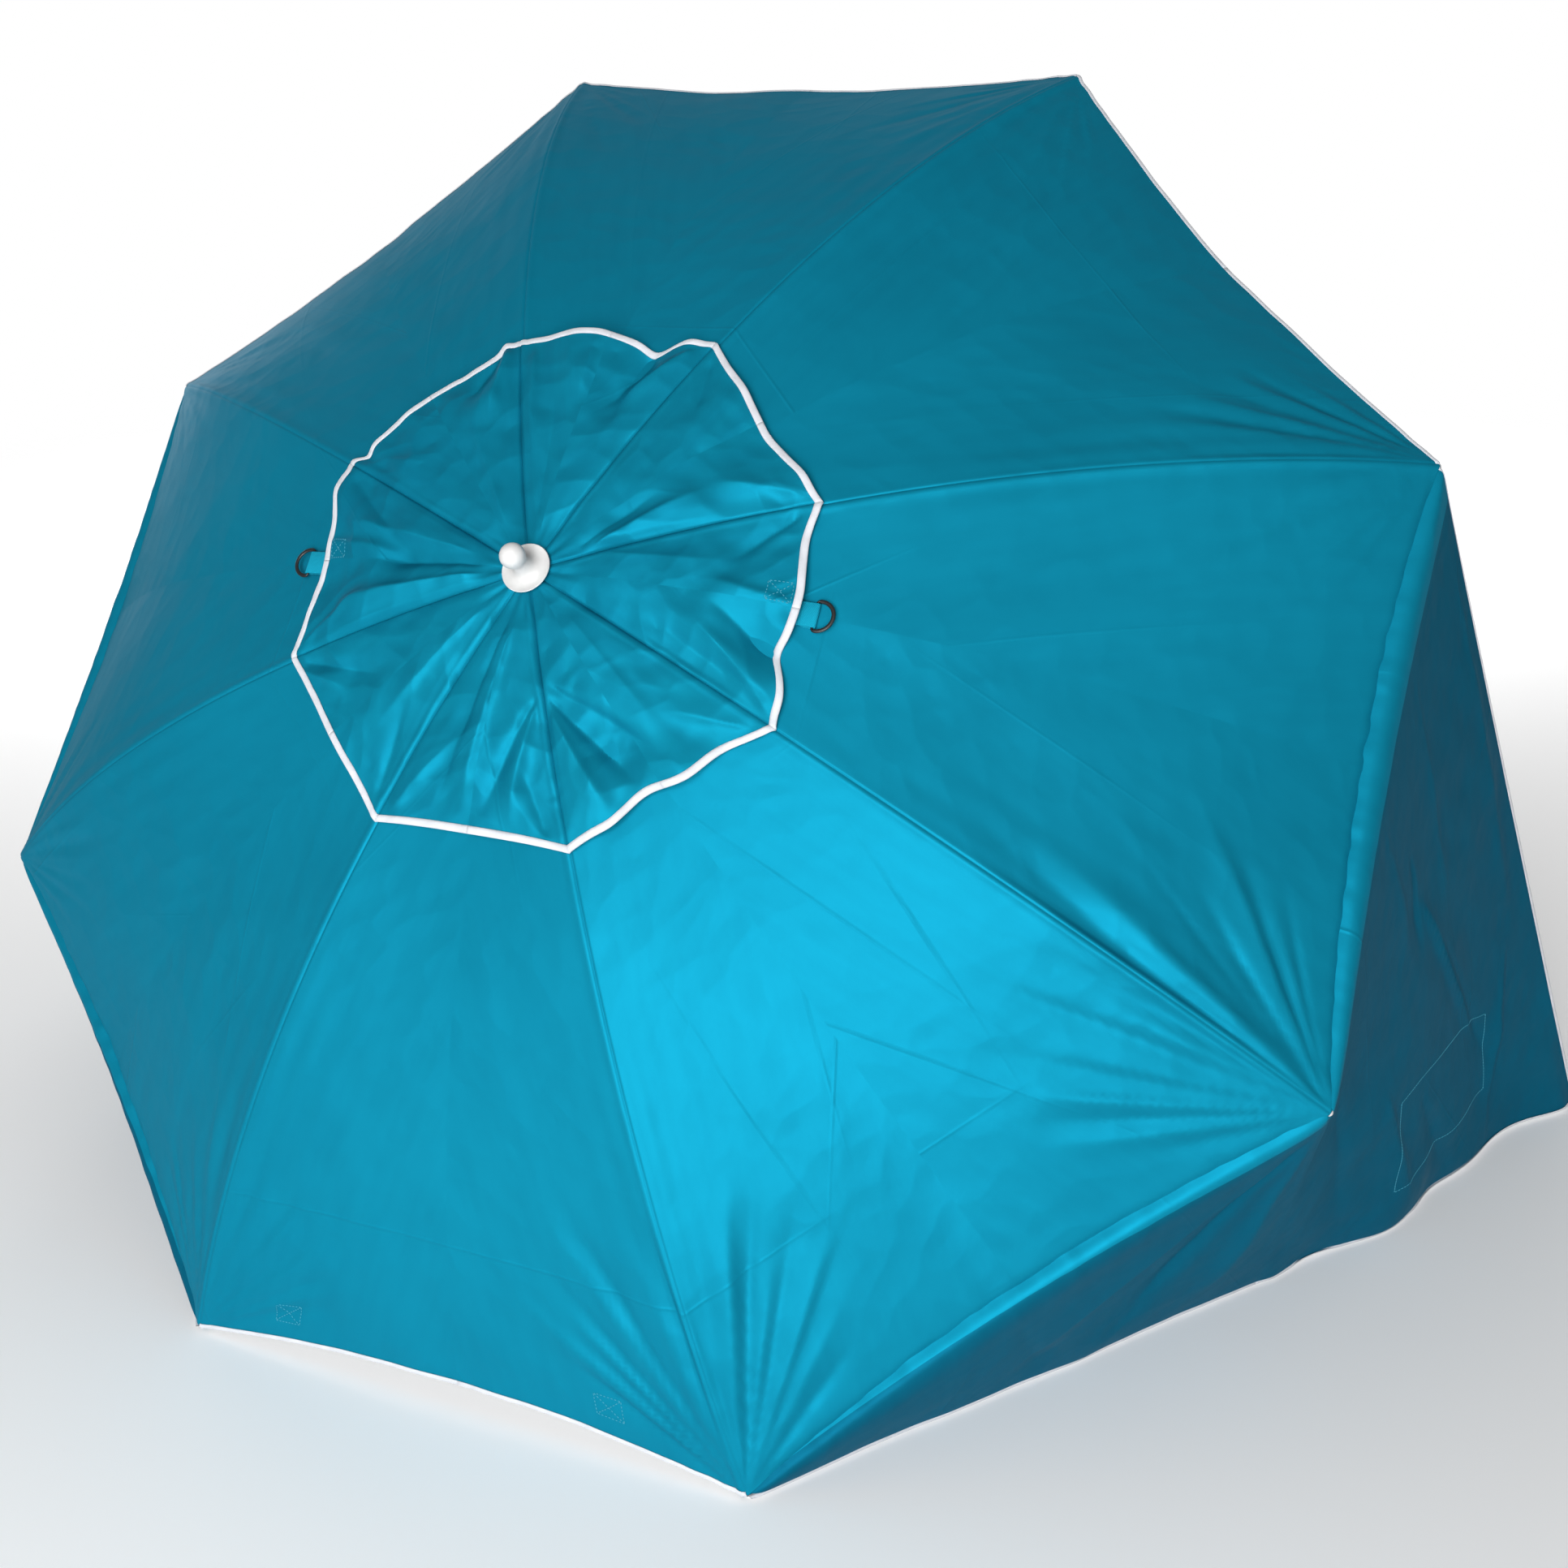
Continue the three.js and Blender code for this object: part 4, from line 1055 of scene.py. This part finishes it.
def stitches(name, lines, ups, length=0.0034, gap=0.0022, radius=0.00042):
    """Rows of short stitches standing just off the cloth."""
    vertices, faces = [], []
    for line, up in zip(lines, ups):
        along = lengths(line)
        for start in np.arange(0.001, along[-1] - length, length + gap):
            stops = (start, start + length)
            ends = [np.array([np.interp(x, along, line[:, k]) for k in range(3)]) for x in stops]
            lift = unit(np.array([np.interp(start, along, up[:, k]) for k in range(3)]))
            way = unit(ends[1] - ends[0])
            wide = np.cross(way, lift) * radius
            base = len(vertices)
            rings = ((ends[0], 1), (ends[0] + way * 0.0006, 2), (ends[1] - way * 0.0006, 2), (ends[1], 1))
            for end, size in rings:
                rise = lift * (radius * 0.5 * size + 0.0002)
                vertices += [end - wide * size, end + rise, end + wide * size, end - lift * 0.0002]
            for ring in range(3):
                for k in range(4):
                    first, second = base + 4 * ring + k, base + 4 * ring + (k + 1) % 4
                    faces.append((first, second, second + 4, first + 4))
            faces.append((base, base + 3, base + 2, base + 1))
            faces.append((base + 12, base + 13, base + 14, base + 15))
    piece = new_piece(name, vertices, faces, [STITCH])
    turn_outward(piece)
    return piece


def box_stitch(name, rib, grid, normals, row, column, tall, wide):
    """A box of stitches with a cross in it, with its middle and its size in grid steps."""
    chains = [(-1, -1), (-1, 1), (1, 1), (1, -1), (-1, -1), (1, 1)], [(-1, 1), (1, -1)]
    step = np.linspace(0, 1, 12)
    lines, ups = [], []
    for chain in chains:
        for (r0, c0), (r1, c1) in zip(chain, chain[1:]):
            rows = row + tall / 2 * (r0 + (r1 - r0) * step)
            columns = column + wide / 2 * (c0 + (c1 - c0) * step)
            lines.append(on_grid(grid, rows, columns))
            ups.append(unit(on_grid(normals, rows, columns)))
    thread = stitches(name, lines, ups, length=0.0026, gap=0.0020, radius=0.0003)
    settle(thread, f"rib_{rib}")
    gather_to_rib(thread)


# ------------------------------------------------------------------ finial, tips, rings

def build_finial():
    seat = TIPS_PLANE + CANOPY_RISE + VENT_LIFT + 0.0016
    root = CROWN - 0.0054
    stem = [(0.0210, 0.0050), (0.0170, 0.0066), (0.0138, 0.0090), (0.0116, 0.0124), (0.0104, 0.0165),
            (0.0100, 0.0205), (0.0104, 0.0240), (0.0118, 0.0270), (0.0136, 0.0302)]
    turns = np.linspace(-0.35, math.pi / 2, 14)[:-1]
    ball = [(0.015 * math.cos(a), 0.0372 + 0.0145 * math.sin(a)) for a in turns]
    dish = [(0.0160, 0), (0.0230, 0.0006), (0.0272, 0.0016), (0.0294, 0.0032), (0.0300, 0.0048),
            (0.0294, 0.0057), (0.0284, 0.0056), (0.0268, 0.0048)]
    rise = [(r, seat + z) for r, z in [(0.005, 0), *dish, *stem, *ball]]
    profile = [(0, root), (0.005, root), *rise, (0, seat + 0.0517)]
    piece = turned("finial_cap", profile, WHITE, 72)
    settle(piece, "upper_pole", ["finial"])


def build_tips():
    bore, back = 0.0033, -0.022
    r = TIP_CAP_RADIUS
    dome = [(r * math.cos(a), 0.002 + 0.005 * math.sin(a)) for a in np.linspace(0, math.pi / 2, 9)[:-1]]
    profile = [(0, -0.0006), (bore, -0.0006), (bore, back), (r - 0.0008, back), (r - 0.0002, back + 0.0006),
               (r, back + 0.0016), (r, -0.006), (r + 0.0004, -0.005), (r + 0.0004, -0.003), (r, -0.002),
               *dome, (0, 0.007)]
    c, s = math.cos(TIP_ANGLE), math.sin(TIP_ANGLE)
    for rib in range(1, RIBS + 1):
        def place(points):
            x = points[:, 2] * c + points[:, 0] * s + CAP_REACH
            z = -points[:, 2] * s + points[:, 0] * c + CAP_HEIGHT + TIPS_PLANE
            return spin(np.stack([x, points[:, 1], z], -1), rib_azimuth(rib))
        piece = turned(f"tip_cap_{rib}", profile, WHITE, 32, place)
        settle(piece, f"rib_{rib}", [f"rib_tip_{rib}"])


def ring_axes(side):
    """The middle of a D-ring's bar, and three directions: along the bar, out to the bow, up off the cloth."""
    hinge = joints[f"dring_{side}_swing"]
    across = unit(hinge["axis"])
    bar = np.array(hinge["pos_m"], float)
    out = unit(np.mean(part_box(f"dring_{side}"), axis=0) - bar)
    up = unit(np.cross(out, across))
    return bar, across, out, up * np.sign(up @ POLE_WAY)


RING_HALF = 0.0173  # half the D-ring's width, to the middle of its wire
RING_WIRE = 0.0023
RING_STRAIGHT = 0.004  # from the bar to where the bow starts
RING_FLATNESS = 0.65
STRAP_WIDTH = 0.029
STRAP_TALL = 0.0048  # the loop's height between its two layers


def build_rings():
    half, ring_sides = RING_HALF, 16
    bow = [(half * math.cos(a), RING_STRAIGHT + half * math.sin(a)) for a in np.linspace(0, math.pi, 33)]
    outline = np.array([(-half, 0.0012), (-half + 0.0012, 0), (half - 0.0012, 0), (half, 0.0012), *bow])
    angles = np.linspace(0, 2 * math.pi, ring_sides, endpoint=False)
    wide = RING_WIRE * np.where(np.abs(outline[:, 1:]) < RING_STRAIGHT, RING_FLATNESS, 1.0) * np.cos(angles)
    tall = RING_WIRE * RING_FLATNESS * np.sin(angles)
    count = len(outline) * ring_sides
    for side in ("right", "left"):
        bar, across, out, up = ring_axes(side)
        path = bar + across * outline[:, :1] + out * outline[:, 1:]
        forward = unit(np.roll(path, -1, axis=0) - np.roll(path, 1, axis=0))
        rings = path[:, None] + wide[..., None] * np.cross(forward, up)[:, None] + tall[:, None] * up
        faces = tube_faces(len(outline) + 1, ring_sides) % count
        ring = new_piece(f"d_ring_{side}", rings.reshape(-1, 3), faces, [BLACK])
        turn_outward(ring)
        settle(ring, f"dring_{side}", [f"dring_{side}"])
        build_strap(side, bar, across, out, up)


def build_strap(side, bar, across, out, up):
    """A loop of webbing round the ring's bar, its ends under the vent cap."""
    half, tall, edge = STRAP_WIDTH / 2, STRAP_TALL / 2, 0.0006
    turns = np.linspace(-math.pi / 2, math.pi / 2, 13)
    nose = [(0.0029 * math.cos(a) + 0.0004, tall * math.sin(a)) for a in turns]
    outer = np.array([(-0.029, edge - tall), (-0.027, -tall), *nose, (-0.027, tall), (-0.029, tall - edge)])
    outer[:, 1] += 0.12 * np.maximum(0, -0.003 - outer[:, 0])  # the ends rise to the vent's hem
    path = bar + out * outer[:, :1] + up * outer[:, 1:]
    normal = unit(np.cross(unit(np.gradient(path, axis=0)), across))
    section = np.array([(-half, 0), (-half + 0.001, edge), (half - 0.001, edge), (half, 0),
                        (half - 0.001, -edge), (-half + 0.001, -edge)])
    fine = np.linspace(0, len(path) - 1, 60)
    path, normal = (np.stack([np.interp(fine, np.arange(len(a)), column) for column in a.T], -1)
                    for a in (path, normal))
    sideways = np.broadcast_to(across, path.shape)
    strap = sweep(f"webbing_{side}", path, sideways, unit(normal), section, WEBBING)
    settle(strap, f"dring_strap_{side}", [f"dring_strap_{side}"])


# ------------------------------------------------------------------ frame of the umbrella

def finish_frame():
    """Materials and rounded copies for the pole, hubs, ribs and stretchers."""
    looks = [
        ("upper_pole", PAINT, 0.0004, "painted_tube"),
        ("lower_pole", PAINT, 0.0004, "painted_tube"),
        ("sand_spike", GREY, 0.0006, "grey_plastic"),
        ("pole_clamp", BLACK, 0.0008, "black_plastic"),
        ("clamp_screw", BLACK, 0.0008, "black_plastic"),
        ("crown_hub", BLACK, 0.0005, "black_plastic"),
        ("runner", BLACK, 0.0005, "black_plastic"),
        ("runner_catch", ZINC, 0.0003, "zinc_steel"),
    ]
    for rib in range(1, RIBS + 1):
        looks.append((f"rib_{rib}", FIBRE, 0.0, "glass_fibre"))
        looks.append((f"rib_joint_{rib}", BLACK, 0.0005, "black_plastic"))
        looks.append((f"stretcher_{rib}", ZINC, 0.0005, "zinc_steel"))
    for node, material, bevel, slot in looks:
        piece = refined(node, f"{node}_shape", material, bevel)
        settle(piece, frame["nodes"][node]["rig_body"], [node])


# ------------------------------------------------------------------ stage, light and camera

CAMERA_PLACE = Vector((1.099, -3.046, 1.435))
CAMERA_LOOK = Vector((-0.3848, 0.8586, -0.3388))
CAMERA_UP = Vector((-0.1320, 0.3120, 0.9408))
CAMERA_LENS = 42.2
BACKDROP_WAY = (-0.409, 0.912, 0.0)  # the lit studio wall stands behind the umbrella
AMBIENT = 0.30
FLOOR_HALF = 12.0
FLOOR_FADE = (3.0, 7.0)  # the floor blends into the backdrop between these distances


def build_stage():
    corners = [(x * FLOOR_HALF, y * FLOOR_HALF, 0) for x, y in ((-1, -1), (1, -1), (1, 1), (-1, 1))]
    material, n = new_material("pale_floor", (0.92, 0.92, 0.92), 0.8)
    floor = new_piece("floor", corners, [(0, 1, 2, 3)], [material])
    place = n.place()
    away = n.add("ShaderNodeVectorMath", operation="LENGTH")
    n.feed(away.inputs[0], place)
    near = n.math("MULTIPLY", away.outputs["Value"], 1 / FLOOR_HALF)
    stops = zip([distance / FLOOR_HALF for distance in FLOOR_FADE], [(1, 1, 1), (0, 0, 0)])
    n.put("Alpha", n.ramp(near, stops))
    n.put("Normal", n.bump(n.noise(place, 60.0), 0.05, 0.001))
    world = bpy.data.worlds.new("studio")
    bpy.context.scene.world = world
    world.use_nodes = True
    n = Nodes(world, world.node_tree.nodes["Background"])
    way = n.add("ShaderNodeVectorMath", operation="DOT_PRODUCT")
    n.feed(way.inputs[0], n.add("ShaderNodeTexCoord").outputs["Generated"])
    n.feed(way.inputs[1], BACKDROP_WAY)
    n.put("Color", n.ramp(way.outputs["Value"], [(0.62, (AMBIENT,) * 3), (0.84, (1.0, 1.0, 1.0))]))


def area_light(name, place, aim, size, power):
    light = bpy.data.lights.new(name, "AREA")
    light.shape = "DISK"
    light.size = size
    light.energy = power
    lamp = bpy.data.objects.new(name, light)
    lamp.location = place
    lamp.rotation_euler = (Vector(aim) - Vector(place)).to_track_quat("-Z", "Y").to_euler()
    bpy.context.scene.collection.objects.link(lamp)


def build_lights():
    middle = (0, -1.0, 0.6)
    area_light("front_high", (0.9, -6.2, 2.9), middle, 3.0, 225)
    area_light("front_low", (1.6, -5.8, 0.9), middle, 2.2, 190)
    area_light("left_rim", (-5.0, 1.8, 1.6), middle, 2.2, 24)
    area_light("floor_wash", (-1.5, 3.6, 4.0), (-3.0, 6.0, 0), 4.0, 420)


def build_camera():
    data = bpy.data.cameras.new("camera")
    data.lens = CAMERA_LENS
    data.sensor_width = 36
    camera = bpy.data.objects.new("camera", data)
    z = -CAMERA_LOOK.normalized()
    x = CAMERA_UP.cross(z).normalized()
    y = z.cross(x)
    turn = Matrix((x, y, z)).transposed().to_quaternion()
    camera.matrix_world = Matrix.LocRotScale(CAMERA_PLACE, turn, None)
    bpy.context.scene.collection.objects.link(camera)
    bpy.context.scene.camera = camera
    bpy.context.scene.view_settings.view_transform = "Standard"


build_camera()
build_stage()
build_lights()
build_canopy()
build_vent()
build_walls()
build_finial()
build_tips()
build_rings()
finish_frame()

bpy.context.view_layer.update()
